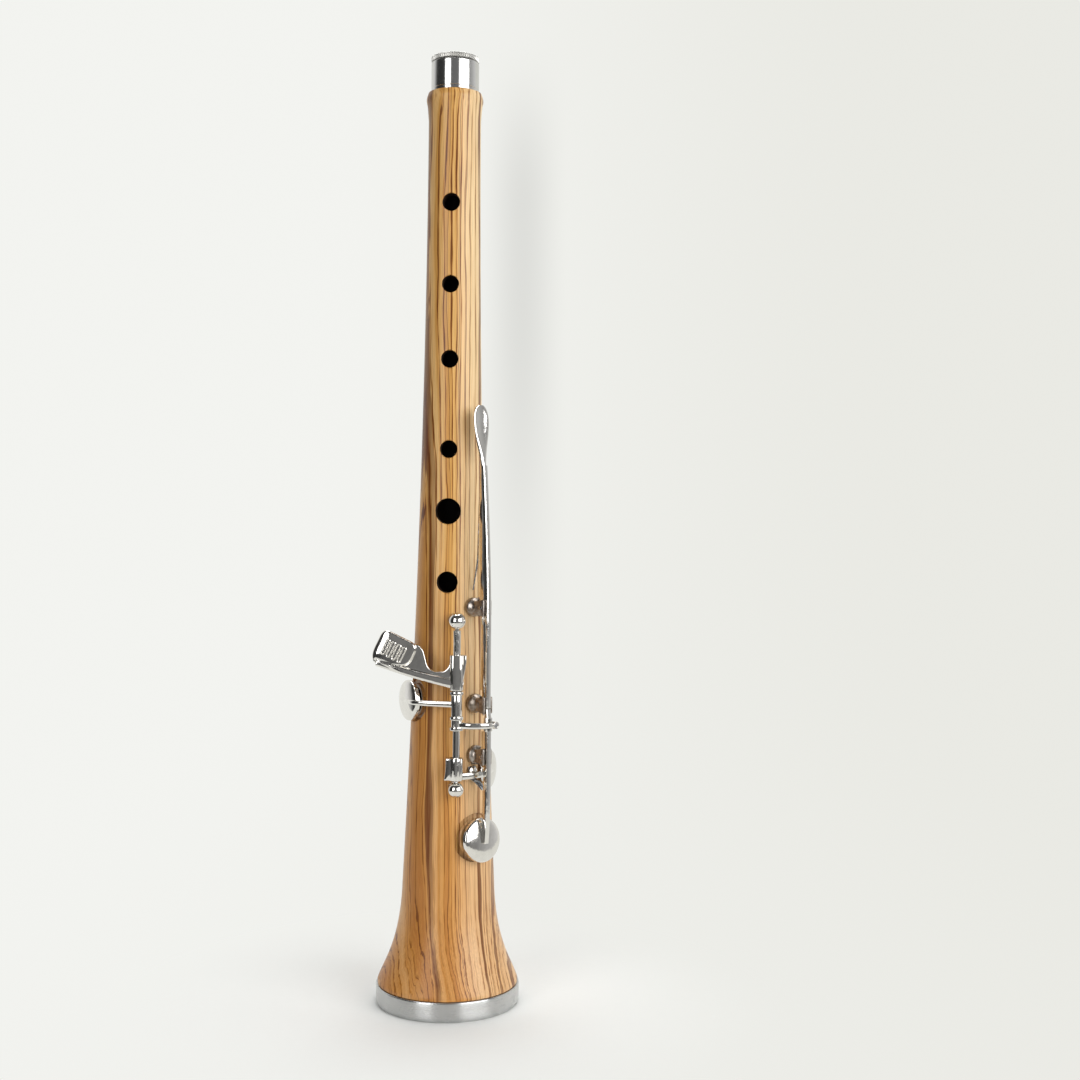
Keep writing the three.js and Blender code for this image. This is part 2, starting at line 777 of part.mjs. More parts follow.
// Touch for the little finger: ribbed plate, folded lip and web, fixed to the key rod
function littleFingerTouch() {
  const front = frontFrame(hinge);
  const tilt = radians(-touchTilt);
  const centre = point(hinge.x - touchReach, touchCentreHeight);
  const onPlate = ([across, up]) => point(touchLength * across, touchWidth * up)
    .rotateAround(point(0, 0), tilt).add(centre);
  const tilted = new THREE.Matrix4().makeRotationZ(tilt)
    .setPosition(centre.x, centre.y, touchThickness / 2);
  const outline = touchPlateShares
    .map(([across, up]) => point(touchLength * across, touchWidth * up));
  const plate = extruded(roundedPolygon(outline, touchCorner),
    touchThickness + touchBevel, touchBevel).applyMatrix4(tilted);
  const lipStart = onPlate(touchLipShares);
  const lipEnd = point(
    hinge.x + barrelDiameter * touchLipHubShares[0],
    touchBarrelFoot + touchLipDiameter * touchLipHubShares[1],
  );
  const lipLine = new THREE.QuadraticBezierCurve3(
    along(lipStart.x, lipStart.y, touchLipFront),
    along((lipStart.x + lipEnd.x) / 2, (lipStart.y + lipEnd.y) / 2 - touchLipSag, touchLipFront),
    along(lipEnd.x, lipEnd.y, touchLipProud),
  );
  const lip = swept(lipLine, curveSteps, along(0, 0, 1), (t) => ({
    height: touchLipDiameter,
    thickness: THREE.MathUtils.lerp(touchLipDiameter, touchLipHubHeight, t),
  }));
  return cutBy(
    joined(solid(plate, front), ...touchRibSolids(tilted, front), solid(lip, front),
      solid(extruded(touchWeb(onPlate, lipStart, lipEnd), touchWebThickness), front),
      solid(touchHub())),
    rodBore(touchBarrelFoot, touchBarrelLength),
    pinBore(touchPinHeight),
  );
}

// Web between plate and barrel, cut away in a round valley for the finger
function touchWeb(onPlate, lipStart, lipEnd) {
  const root = onPlate(touchWebRootShares);
  const edge = touchWebEdgeShares.map(([left, up]) => point(
    hinge.x - touchReach * left, touchBarrelFoot + touchBarrelLength * up,
  ));
  const web = new THREE.Shape();
  web.moveTo(lipStart.x, lipStart.y);
  web.lineTo(root.x, root.y);
  web.lineTo(edge[0].x, edge[0].y);
  web.splineThru(edge.slice(1));
  web.lineTo(hinge.x, touchBarrelFoot + touchBarrelLength);
  web.lineTo(hinge.x, lipEnd.y);
  return web;
}

// Squarish barrel of the touch, with a fin down its right side
function touchHub() {
  const barrelTop = touchBarrelFoot + touchBarrelLength;
  const r = barrelDiameter / 2;
  const hub = extruded(roundedRectangle(barrelDiameter, barrelDiameter, barrelDiameter / 3),
    touchBarrelLength).translate(hinge.x, hinge.y, touchBarrelFoot + touchBarrelLength / 2);
  const fin = new THREE.Shape([point(0, barrelTop), point(touchEarWidth, barrelTop),
    point(touchEarWidth, barrelTop - touchEarHeight / 4), point(r, barrelTop - touchEarHeight),
    point(0, barrelTop - touchEarHeight)]);
  const place = frontFrame(hinge)
    .multiply(new THREE.Matrix4().makeTranslation(hinge.x, 0, 0));
  const blade = solid(extruded(fin, barrelDiameter / 2), place);
  return surface(joined(solid(hub), blade));
}

// Short raised ribs across the plate
function touchRibSolids(tilted, front) {
  const pitch = touchLength * touchRibSpreadShare / touchRibs;
  const length = touchWidth * touchRibLengthShare;
  const rise = touchThickness / 2 + touchBevel / 2;
  const ribs = [];
  for (let i = 0; i < touchRibs; i += 1) {
    const x = (i - (touchRibs - 1) / 2) * pitch;
    const rib = extruded(roundedRectangle(touchRibWidth, length, touchRibWidth / 2),
      2 * touchRibRise).translate(x, 0, rise).applyMatrix4(tilted);
    ribs.push(solid(rib, front));
  }
  return ribs;
}

// Arm of the little-finger key, from its leaf-shaped barrel to the side cup
function sideCupArm() {
  const rim = closedRim(sideCupAngle, sideCupHeight);
  const height = armBarrelFoot + sideArmHeight / 2;
  const mid = outwardAt((hingeAngle + sideCupAngle) / 2)
    .multiplyScalar(bodyRadius(height) + sideArmBow + sideArmThickness / 2);
  const curve = new THREE.CatmullRomCurve3([
    along(hinge.x, hinge.y, height), mid.setZ(height),
    cupBack(rim, -sideCupDiameter * sideArmEdgeShare).setZ(sideCupHeight), cupBack(rim),
  ]);
  const arm = swept(curve, 8, upward, (t) => ({
    height: sideArmHeight * THREE.MathUtils.lerp(...armTaperShares, t),
    thickness: sideArmThickness * THREE.MathUtils.lerp(...armThinningShares, t),
  }));
  const leaf = new THREE.Shape();
  const r = barrelDiameter / 2;
  leaf.moveTo(-r - armLeafReach, 0);
  leaf.lineTo(r, 0);
  leaf.lineTo(r, armBarrelLength);
  leaf.lineTo(-r - armLeafReach * armLeafShares[0], armBarrelLength);
  leaf.quadraticCurveTo(-r - armLeafReach / 2, armBarrelLength / 2, -r - armLeafReach, 0);
  const [depth, edge] = armLeafShares.map((share) => barrelDiameter * share);
  const plate = extruded(leaf, depth, edge);
  const front = frontFrame(hinge)
    .multiply(new THREE.Matrix4().makeTranslation(hinge.x, armBarrelFoot, 0));
  const hub = rod(r, armBarrelFoot, armBarrelFoot + armBarrelLength, rodSides);
  return cutBy(
    joined(solid(plate, front), solid(hub, hingeLine), solid(arm),
      solid(padCup(sideCupDiameter), rim)),
    rodBore(armBarrelFoot, armBarrelLength),
    pinBore(armPinHeight),
  );
}

// Vent key: sleeve on the rod, arm over the open cup, arm that the low lever lifts
function openVent() {
  return new THREE.Matrix4().makeTranslation(hinge.x, hinge.y, 0)
    .multiply(new THREE.Matrix4().makeRotationZ(radians(ventOpenAngle)))
    .multiply(new THREE.Matrix4().makeTranslation(-hinge.x, -hinge.y, 0))
    .multiply(closedRim(ventCupAngle, ventCupHeight));
}

const linkAngle = leverAngle + linkOffsetAngle;

function lowLeverCrown() {
  return bodyRadius(lowLeverPivotHeight) + lowLeverCrownRise;
}

function ventKey() {
  const sleeveTop = ventSleeveFoot + ventSleeveLength;
  const collar = ventCollarDiameter / 2;
  const collars = ventCollarShares.map((share) => {
    const foot = ventSleeveFoot + share * (ventSleeveLength - ventCollarWidth);
    return solid(rod(collar, foot, foot + ventCollarWidth, rodSides), hingeLine);
  });
  const sleeve = solid(rod(ventSleeveDiameter / 2, ventSleeveFoot, sleeveTop, rodSides), hingeLine);
  const rim = openVent();
  const armMid = outwardAt((hingeAngle + ventCupAngle) / 2)
    .multiplyScalar(bodyRadius(ventCupHeight) + ventArmBow + ventArmThickness * 2);
  const armCurve = new THREE.CatmullRomCurve3([
    along(hinge.x, hinge.y, ventCupHeight), armMid.setZ(ventCupHeight),
    ...ventArmEdgeShares.map((share) => cupBack(rim, ventCupDiameter * share)),
  ]);
  const arm = swept(armCurve, 10, upward, (t) => ({
    height: ventArmHeight * THREE.MathUtils.lerp(...ventTaperShares, t),
    thickness: ventArmThickness * THREE.MathUtils.lerp(...armThinningShares, t),
  }));
  const bossFoot = lowLeverCrown() + 2 * runningGap;
  const linkRadius = bossFoot + linkArmThickness / 2 + runningGap / 2;
  const linkRun = linkAngle - hingeAngle;
  const onLink = (share, radius) => outwardAt(hingeAngle + linkRun * share)
    .multiplyScalar(radius).setZ(linkHeight);
  const linkCurve = new THREE.CatmullRomCurve3([
    along(hinge.x, hinge.y, linkHeight),
    onLink(linkPlaceShares[0], (hingeRadius + 2 * linkRadius) / 3),
    onLink(linkPlaceShares[1], linkRadius), onLink(linkPlaceShares[2], linkRadius),
  ]);
  const link = swept(linkCurve, 8, upward, (t) => ({
    height: linkArmHeight * THREE.MathUtils.lerp(...armThinningShares, t),
    thickness: linkArmThickness,
  }));
  const seat = seatFrame(linkAngle, linkHeight);
  const boss = rod(linkBossDiameter / 2, bossFoot, bossFoot + linkBossLength, rodSides);
  const screwHole = rod(linkScrewDiameter / 2 + runningGap, bossFoot - cutOverrun,
    bossFoot + linkBossLength + cutOverrun, pinSides);
  return cutBy(
    joined(sleeve, ...collars, solid(arm), solid(link), solid(boss, seat),
      solid(padCup(ventCupDiameter), rim)),
    rodBore(ventSleeveFoot, ventSleeveLength),
    solid(screwHole, seat),
  );
}

// Regulating screw in the end of the link arm, its tip over the low lever's block
function linkScrew() {
  const tip = (lowLeverCrown() + 1.2 * runningGap) / Math.cos(radians(linkOffsetAngle));
  const top = tip + runningGap + linkBossLength;
  const slot = new THREE.BoxGeometry(linkScrewDiameter * 2, linkScrewDiameter / 3, linkScrewDiameter)
    .translate(0, 0, top);
  const seat = seatFrame(linkAngle, linkHeight);
  return cutBy(solid(rod(linkScrewDiameter / 2, tip, top, pinSides), seat), solid(slot, seat));
}

// Radii of the two levers, measured from the bore axis
const longPivotRadius = bodyRadius(longLeverPivotHeight) + longLeverPivotRise;
const longCrownRadius = bodyRadius(longLeverPivotHeight) + longLeverCrownRise;
const lowPivotRadius = bodyRadius(lowLeverPivotHeight) + lowLeverPivotRise;
const leverPlane = planeFrame(leverAngle);

function leverHole(radius, height) {
  const bore = rod(leverPinDiameter / 2 + runningGap, -leverThickness - cutOverrun,
    leverThickness + cutOverrun, pinSides);
  return solid(bore.translate(radius, height, 0), leverPlane);
}

// Where the long touch stands, and where it grows out of the bar
const longTouchHeight = longLeverPivotHeight + longLeverTouchRise;
const longTouchRadius = bodyRadius(longTouchHeight) + longTouchStandOff;
const longRootHeight = longTouchHeight - longTouchLength * longRootShare;
const longRootRadius = THREE.MathUtils.lerp(longTouchRadius, longCrownRadius, longRootRadiusShare);

// Outer edge of the long lever's bar, from the straight foot to the root of the touch
function longOuterEdge() {
  const bend = (2 * longLeverPivotHeight + longLeverFoot) / 3;
  const run = longRootHeight - bend;
  const waist = THREE.MathUtils.lerp(longRootRadius, longCrownRadius, longEdgeShares[1]);
  return new THREE.CubicBezierCurve(
    point(longCrownRadius, bend), point(longCrownRadius, bend + run * longEdgeShares[0]),
    point(waist, bend + run * longEdgeShares[2]), point(longRootRadius, longRootHeight),
  );
}

// Inner edge of the bar above the fork, from the root of the touch down to the belly
function longInnerEdge() {
  const belly = longCrownRadius - longWebDepth;
  const bellyTop = longLeverPivotHeight + (forkHeadWidth + leverBarDepth) / 2 + 2 * runningGap;
  return new THREE.QuadraticBezierCurve(
    point(longRootRadius - leverBarDepth, longRootHeight),
    point(belly, (longLeverPivotHeight + longRootHeight) / 2),
    point(belly, bellyTop),
  );
}

// Outer edge of the low lever's arm, from the straight bar to the middle of the cup
function lowOuterEdge() {
  const crown = lowLeverCrown();
  const back = cupBack(openLow()).applyMatrix4(leverPlane.clone().invert());
  const bend = lowLeverPivotHeight - forkHeadWidth;
  const fall = bend - back.y;
  const [high, out, low, end] = lowEdgeShares;
  return new THREE.CubicBezierCurve(
    point(crown, bend), point(crown, bend - fall * high),
    point(back.x + leverBarDepth * out, bend - fall * low),
    point(back.x + leverBarDepth * end, back.y - leverBarDepth / 2),
  );
}

// Radius of an edge at a height
function edgeRadius(curve, height) {
  const steps = 60;
  const near = curve.getPoints(steps)
    .reduce((best, p) => (Math.abs(p.y - height) < Math.abs(best.y - height) ? p : best));
  return near.x;
}

// Long lever: dished touch at the top, bar that deepens to a belly over the pivot,
// a waist in each fork, a lug over the guide and a tongue at the foot
function longLever() {
  const crown = longCrownRadius;
  const pivot = longLeverPivotHeight;
  const foot = longLeverFoot;
  const clear = forkHeadWidth / 2 + 2 * runningGap;
  const lugFoot = guideLugFoot;
  const neck = pivot - leverPinDiameter;
  const tailRun = neck - lugFoot;
  const [tailTop, lugTop, lugBend, lugEnd] = longTailShares.map((share) => tailRun * share);
  const tongue = crown - leverBarDepth * tongueShares[0];
  const tongueInner = tongue - leverBarDepth * tongueShares[1];
  const shape = new THREE.Shape([
    point(crown, foot), ...curvePoints(longOuterEdge(), 2 * curveSteps),
    ...curvePoints(longInnerEdge(), curveSteps),
  ]);
  shape.lineTo(crown - longWebDepth, pivot + clear);
  shape.lineTo(crown - longWaistDepth, pivot + clear);
  shape.lineTo(crown - longWaistDepth, neck);
  shape.quadraticCurveTo(crown - longTailDepth, neck, crown - longTailDepth, neck - tailTop);
  shape.lineTo(crown - longTailDepth, lugFoot + lugTop);
  shape.quadraticCurveTo(crown - longTailDepth, lugFoot + lugBend,
    crown - guideLugDepth, lugFoot + lugEnd);
  shape.lineTo(crown - guideLugDepth, lugFoot);
  shape.lineTo(tongueInner, lugFoot);
  shape.lineTo(tongueInner, foot - longTongueDrop);
  shape.lineTo(tongue, foot - longTongueDrop);
  shape.lineTo(tongue, foot);
  const bar = solid(extruded(shape, leverThickness), leverPlane);
  const line = new THREE.CatmullRomCurve3([
    along(longRootRadius - leverBarDepth / 2, longRootHeight - longTouchThickness),
    ...longTouchLineShares.map(([out, up]) => along(
      longTouchRadius + longTouchThickness * out, longTouchHeight + longTouchLength * up,
    )),
  ]);
  const touch = swept(line, 11, along(0, 0, 1), (t) => ({
    height: leverThickness + (longTouchWidth - leverThickness) * touchSpread(t),
    thickness: longTouchThickness,
    dish: longTouchDish * touchSpread(t),
  }), 12);
  return cutBy(joined(bar, solid(touch, leverPlane)), leverHole(longPivotRadius, pivot));
}

// How far the long touch has widened from its root to its rounded tip
function touchSpread(t) {
  const swell = Math.sin(Math.PI / 2 * Math.min(t / touchWidestShare, 1)) ** 2;
  const past = Math.max(t - touchWidestShare, 0) / (1 - touchWidestShare);
  return swell * Math.sqrt(Math.max(1 - past * past, leverThickness / longTouchWidth / 4));
}

// Low lever at rest, its cup standing open
function openLow() {
  return leverPlane.clone()
    .multiply(new THREE.Matrix4().makeTranslation(lowPivotRadius, lowLeverPivotHeight, 0))
    .multiply(new THREE.Matrix4().makeRotationZ(radians(lowLeverOpenAngle)))
    .multiply(new THREE.Matrix4().makeTranslation(-lowPivotRadius, -lowLeverPivotHeight, 0))
    .multiply(leverPlane.clone().invert())
    .multiply(closedRim(lowCupAngle, lowCupHeight));
}

function lowLever() {
  const pivot = lowLeverPivotHeight;
  const crown = lowLeverCrown();
  const clear = forkHeadWidth / 2 + 2 * runningGap;
  const tipTop = pivot + lowLeverTipRise;
  const blockFoot = linkHeight - lowLeverBlockHeight / 2;
  const blockTop = linkHeight + lowLeverBlockHeight / 2;
  const blockInner = crown - lowLeverBlockDepth;
  const tipFoot = longCrownRadius - leverBarDepth * tongueShares[0] + runningGap;
  const web = crown - lowWebDepth;
  const waist = crown - lowWaistDepth;
  const outline = curvePoints(lowOuterEdge(), curveSteps);
  const under = outline.map((p) => point(p.x - leverBarDepth, p.y));
  const shape = new THREE.Shape([
    point(tipFoot, tipTop), point(tipFoot, blockTop), point(blockInner, blockTop),
    point(blockInner, blockFoot), point(web, blockFoot), point(web, pivot + clear),
    point(waist, pivot + clear / 2), point(waist, pivot - clear / 2), ...under,
    ...outline.slice().reverse(), point(crown, blockTop),
    point(crown - leverBarDepth / 4, tipTop),
  ]);
  const bar = solid(extruded(shape, leverThickness), leverPlane);
  const block = new THREE.BoxGeometry(lowLeverBlockDepth, lowLeverBlockHeight, lowLeverBlockWidth)
    .translate(crown - lowLeverBlockDepth / 2, linkHeight, 0);
  return cutBy(
    joined(bar, solid(block, leverPlane), solid(padCup(lowCupDiameter), openLow())),
    leverHole(lowPivotRadius, pivot),
  );
}

// Forked post: turned bell-shaped foot and neck, flared head slotted for the lever
function forkedPost(height, headTop, webRadius) {
  const skin = bodyRadius(height - forkBaseDiameter / 2) + runningGap;
  const slotFloor = webRadius - 2 * runningGap;
  const rise = slotFloor - skin;
  const [shoulder, waist, flare] = forkStemShares;
  const tenon = postTenonDiameter / 2;
  const base = forkBaseDiameter / 2;
  const neck = forkNeckDiameter / 2;
  const slotWidth = leverThickness + 2 * runningGap;
  const headDepth = slotWidth + 2 * forkEarThickness;
  const stem = turned([
    point(0, skin - postTenonLength), point(tenon, skin - postTenonLength), point(tenon, skin),
    point(base, skin), point(base, skin + forkBaseHeight),
    point(base * shoulder, skin + forkBaseHeight + rise * waist / 2),
    point(neck, skin + forkBaseHeight + rise * waist), point(neck, slotFloor), point(0, slotFloor),
  ], rodSides);
  const head = new THREE.Shape();
  const half = forkHeadWidth / 2;
  const headFoot = slotFloor - rise * flare;
  head.moveTo(-neck, headFoot);
  head.lineTo(neck, headFoot);
  head.quadraticCurveTo(neck, slotFloor, half, headTop - forkCornerRounding);
  head.quadraticCurveTo(half, headTop, half - forkCornerRounding, headTop);
  head.lineTo(forkCornerRounding - half, headTop);
  head.quadraticCurveTo(-half, headTop, -half, headTop - forkCornerRounding);
  head.quadraticCurveTo(-neck, slotFloor, -neck, headFoot);
  const seat = seatFrame(leverAngle, height);
  const across = seat.clone().multiply(new THREE.Matrix4()
    .makeBasis(along(0, 1, 0), along(0, 0, 1), along(1, 0, 0)));
  const slotDepth = headTop - slotFloor + cutOverrun;
  const slot = new THREE.BoxGeometry(slotWidth, forkHeadWidth + cutOverrun, slotDepth)
    .translate(0, 0, slotFloor + slotDepth / 2);
  return cutBy(joined(solid(stem, seat), solid(extruded(head, headDepth), across)),
    solid(slot, seat));
}

function pivotPost(height, pinRadius, webRadius) {
  return cutBy(forkedPost(height, pinRadius + forkHeadRise, webRadius),
    leverHole(pinRadius, height));
}

// The fork that guides the foot of the long lever has no pin
function guidePost() {
  const tongue = longCrownRadius - leverBarDepth * (tongueShares[0] + tongueShares[1]);
  return forkedPost(guidePostHeight, longCrownRadius - runningGap, tongue);
}

function leverPin(radius, height) {
  const reach = leverThickness / 2 + runningGap + forkEarThickness;
  const pin = rod(leverPinDiameter / 2, -reach, reach, pinSides);
  return solid(pin.translate(radius, height, 0), leverPlane);
}

// Leaf springs: thin strips, narrowing from their root to where they bear
function leaf(points, axis, width) {
  const curve = new THREE.CatmullRomCurve3(points);
  return swept(curve, curveSteps, axis, (t) => ({
    height: THREE.MathUtils.lerp(width, width * springNarrowingShare, t),
    thickness: springThickness,
  }));
}

// Spring of a side key, from close under the key to close over the wood
function sideSpring(rootAngle, tipAngle, height, rootRadius) {
  const tipRadius = bodyRadius(height) + runningGap + springThickness / 2;
  const place = (angle, radius) => outwardAt(angle).multiplyScalar(radius).setZ(height);
  const middle = place((rootAngle + tipAngle) / 2, (rootRadius + tipRadius) / 2 - springBow / 2);
  return solid(leaf([place(rootAngle, rootRadius), middle, place(tipAngle, tipRadius)],
    upward, springWidth));
}

function touchSpring() {
  const lip = -hinge.y - touchLipDiameter / 2 - runningGap - springThickness / 2;
  const rootRadius = lip / Math.cos(radians(touchSpringRoot));
  return sideSpring(touchSpringRoot, touchSpringTip, touchSpringHeight, rootRadius);
}

function ventSpring() {
  const under = ventArmThickness + 3 * runningGap + springThickness;
  return sideSpring(ventSpringRoot, ventSpringTip, ventCupHeight, hingeRadius - under);
}

// Spring under the long lever, from its inner edge down to the wood above the fork
function longLeverSpring() {
  const root = longLeverPivotHeight + longSpringRoot;
  const tip = longLeverPivotHeight + longSpringTip;
  const rootRadius = edgeRadius(longInnerEdge(), root) - runningGap - springThickness;
  const tipRadius = bodyRadius(tip) + runningGap + springThickness;
  return solid(leaf([
    along(rootRadius, root), along((rootRadius + tipRadius) / 2 + springBow, (root + tip) / 2),
    along(tipRadius, tip),
  ], along(0, 0, 1), needleSpringWidth), leverPlane);
}

function lowLeverSpring() {
  const skin = bodyRadius(springStudHeight) + runningGap + springThickness;
  const tip = springStudHeight - lowSpringReach;
  const under = leverBarDepth + runningGap + springThickness;
  const tipRadius = edgeRadius(lowOuterEdge(), tip) - under;
  const across = tangentAt(springStudAngle);
  const start = outwardAt(springStudAngle).multiplyScalar(skin);
  const end = outwardAt(leverAngle).multiplyScalar(tipRadius).setZ(tip);
  const strip = solid(leaf([
    start.clone().setZ(springStudHeight + springStudDiameter / 2),
    start.clone().setZ(springStudHeight - springStudDiameter / 2 - springThickness),
    start.clone().lerp(end, lowSpringShares[0])
      .setZ(springStudHeight - lowSpringReach * lowSpringShares[1]),
    end,
  ], across, eyeSpringWidth));
  const hole = rod(springStudShank / 2 + 2 * runningGap, 0, skin + cutOverrun, pinSides);
  return cutBy(strip, solid(hole, seatFrame(springStudAngle, springStudHeight)));
}

// Domed stud that holds the low lever's spring down
function springStud() {
  const skin = bodyRadius(springStudHeight) + runningGap;
  const under = skin + springThickness * 1.5 + runningGap;
  const head = springStudDiameter / 2;
  const shank = springStudShank / 2;
  const profile = [point(0, skin - postTenonLength), point(shank, skin - postTenonLength),
    point(shank, under), point(head, under)];
  const domeSteps = 4;
  for (let i = 1; i <= domeSteps; i += 1) {
    const turn = (Math.PI / 2) * i / domeSteps;
    profile.push(point(head * Math.cos(turn), under + springStudRise * Math.sin(turn)));
  }
  return solid(turned(profile, rodSides), seatFrame(springStudAngle, springStudHeight));
}

// Assembly
const shawm = new THREE.Group();

function addPiece(name, manifold, finish) {
  const mesh = new THREE.Mesh(surface(manifold), new THREE.MeshStandardMaterial(finish));
  mesh.name = name;
  shawm.add(mesh);
}

addPiece('wooden_body', woodenBody(), wood);
addPiece('bell_ring', bellRing(), satin);
addPiece('top_ferrule', topFerrule(), steel);
addPiece('tuning_ring', tuningRing(), steel);
addPiece('socket_liner', socketLiner(), brass);
addPiece('upper_ball_post', ballPost(upperPostHeight, upperBallDiameter), polished);
addPiece('lower_ball_post', ballPost(lowerPostHeight, lowerBallDiameter), polished);
addPiece('upper_pivot_screw', pivotScrew(upperPostHeight, upperBallDiameter, -1), steel);
addPiece('lower_pivot_screw', pivotScrew(lowerPostHeight, lowerBallDiameter, 1), steel);
addPiece('key_rod', keyRod(), steel);
addPiece('little_finger_touch', littleFingerTouch(), polished);
addPiece('touch_pin', crossPin(touchPinHeight), steel);
addPiece('side_cup_arm', sideCupArm(), polished);
addPiece('arm_pin', crossPin(armPinHeight), steel);
addPiece('vent_key', ventKey(), polished);
addPiece('link_screw', linkScrew(), steel);
addPiece('long_lever_post',
  pivotPost(longLeverPivotHeight, longPivotRadius, longCrownRadius - longWaistDepth), polished);
addPiece('long_lever_pin', leverPin(longPivotRadius, longLeverPivotHeight), steel);
addPiece('guide_post', guidePost(), polished);
addPiece('low_lever_post',
  pivotPost(lowLeverPivotHeight, lowPivotRadius, lowLeverCrown() - lowWaistDepth), polished);
addPiece('low_lever_pin', leverPin(lowPivotRadius, lowLeverPivotHeight), steel);
addPiece('long_lever', longLever(), polished);
addPiece('low_lever', lowLever(), polished);
addPiece('spring_stud', springStud(), polished);
addPiece('long_lever_spring', longLeverSpring(), steel);
addPiece('low_lever_spring', lowLeverSpring(), steel);
addPiece('touch_spring', touchSpring(), steel);
addPiece('vent_spring', ventSpring(), steel);
addPiece('side_pad', solid(padDisc(sideCupDiameter), closedRim(sideCupAngle, sideCupHeight)), leather);
addPiece('vent_pad', solid(padDisc(ventCupDiameter), openVent()), leather);
addPiece('low_pad', solid(padDisc(lowCupDiameter), openLow()), leather);

export default shawm;
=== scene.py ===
# %% [markdown]
# # A keyed folk shawm in olive wood
# This lesson dresses a measured model of a wooden shawm: one turned body with a flared bell,
# a metal ring round its foot, a sleeve and a knurled ring at the reed end, and three padded
# side keys. The measured model is loaded first and never changes. Each visible piece is then
# made again with a fine surface, in the same place, and is told which moving body it rides on.

# %% Load the measured model
import math
import bmesh
import bpy
from mathutils import Matrix, Vector


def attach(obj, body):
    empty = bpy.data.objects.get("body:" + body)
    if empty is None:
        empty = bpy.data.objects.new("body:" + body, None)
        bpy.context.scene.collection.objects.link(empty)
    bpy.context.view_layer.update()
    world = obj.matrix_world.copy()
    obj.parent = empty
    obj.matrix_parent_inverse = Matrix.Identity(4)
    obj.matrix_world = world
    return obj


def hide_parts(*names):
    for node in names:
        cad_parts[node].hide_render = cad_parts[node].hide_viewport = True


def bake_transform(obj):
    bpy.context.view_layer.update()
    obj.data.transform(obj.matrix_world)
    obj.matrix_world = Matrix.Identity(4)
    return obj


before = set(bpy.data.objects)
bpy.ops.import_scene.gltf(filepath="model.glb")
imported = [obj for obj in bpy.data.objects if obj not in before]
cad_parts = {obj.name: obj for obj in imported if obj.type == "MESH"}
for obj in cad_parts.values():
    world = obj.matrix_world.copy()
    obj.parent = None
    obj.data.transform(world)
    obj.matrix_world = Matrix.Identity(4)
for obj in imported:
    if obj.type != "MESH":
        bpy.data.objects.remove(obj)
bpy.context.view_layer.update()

# %% [markdown]
# ## Sizes
# All sizes are in millimetres, as a maker would write them on the drawing. Heights run up the
# bore from the foot. Angles run round the body from the line of the finger holes towards +X,
# so a place on the wood is an angle and a height.

# %% Sizes that more than one piece needs
MM = 0.001
gap = 0.3
length = 340.0
ring_height, ring_diameter, ring_wall = 7.0, 51.5, 1.2
ring_foot, ring_foot_width = 1.6, 3.4
bell_diameter, flare_height, cone_foot = 50.7, 43.0, 33.0
waist_diameter, waist_drop, taper_power = 18.8, 10.0, 1.85
bead_diameter, bead_drop, shoulder_diameter = 20.4, 2.2, 19.2
bore_top, bore_foot, bore_mouth = 5.6, 19.6, 42.6
head_diameter, sleeve_height, sleeve_wall = 17.2, 10.8, 1.1
knurled_height, knurled_bore, spigot_length = 1.9, 7.8, 1.9
liner_diameter, liner_wall, liner_length = 8.6, 0.8, 18.0
seat_drop, pad_proud, pad_thickness = 1.3, 0.5, 1.5
cup_wall, cup_height, cup_dome = 0.55, 1.9, 0.6
peg_depth, peg_radius = 1.5, 1.1
shoulder = length - knurled_height - sleeve_height - 2 * gap
waist = shoulder - waist_drop


def body_radius(height):
    """Outside radius of the wood on the cone."""
    share = max((waist - height) / (waist - flare_height), 0)
    return waist_diameter / 2 + (cone_foot - waist_diameter) / 2 * share ** taper_power


def bore_radius(height):
    share = (shoulder - height) / (shoulder - flare_height)
    return (bore_top + (bore_foot - bore_top) * share) / 2


print("wood at mid length, mm across:", round(2 * body_radius(length / 2), 2))

# %% [markdown]
# ## Where things sit
# A seat is a small frame of reference on the wood: X runs round the body, Y up it and Z out of
# it. The lever plane is the radial plane in which both levers rock, with X out of the body.
# Matrices like these let every piece be drawn flat and upright, and then be put in place.

# %% Frames of reference
def out_at(angle):
    turn = math.radians(angle)
    return Vector((math.sin(turn), -math.cos(turn), 0))


def round_at(angle):
    turn = math.radians(angle)
    return Vector((math.cos(turn), math.sin(turn), 0))


UP = Vector((0, 0, 1))


def frame_of(x, y, z, origin):
    placed = Matrix((x, y, z)).transposed().to_4x4()
    placed.translation = origin
    return placed


def seat_frame(angle, height):
    return frame_of(round_at(angle), UP, out_at(angle), UP * height)


hinge_angle, hinge_radius = 13.6, 18.9
hinge = out_at(hinge_angle) * hinge_radius
hinge_line = Matrix.Translation(hinge)
front = frame_of(Vector((1, 0, 0)), UP, Vector((0, -1, 0)), Vector((0, hinge.y, 0)))
lever_angle = 44.0
lever_plane = frame_of(out_at(lever_angle), UP, -round_at(lever_angle), Vector())
print("hinge line at", [round(v, 2) for v in hinge])

# %% [markdown]
# ## Forms
# A form here is only corners and faces in millimetres. Turned work comes from a closed outline
# spun round Z, bars from a section swept along a curve, and flat work from an outline given a
# thickness. Blender could do the same with its Screw and Bevel modifiers, but small functions
# keep every number in view and give the same mesh every time.

# %% Corners and faces
class Form:
    """Corners in millimetres, and the faces between them."""

    def __init__(self, corners, faces):
        self.corners, self.faces = list(corners), list(faces)

    def __add__(self, other):
        shift = len(self.corners)
        faces = [tuple(i + shift for i in face) for face in other.faces]
        return Form(self.corners + other.corners, self.faces + faces)

    def at(self, matrix):
        return Form([matrix @ corner for corner in self.corners], self.faces)


print("two empty forms joined have", len((Form([], []) + Form([], [])).faces), "faces")

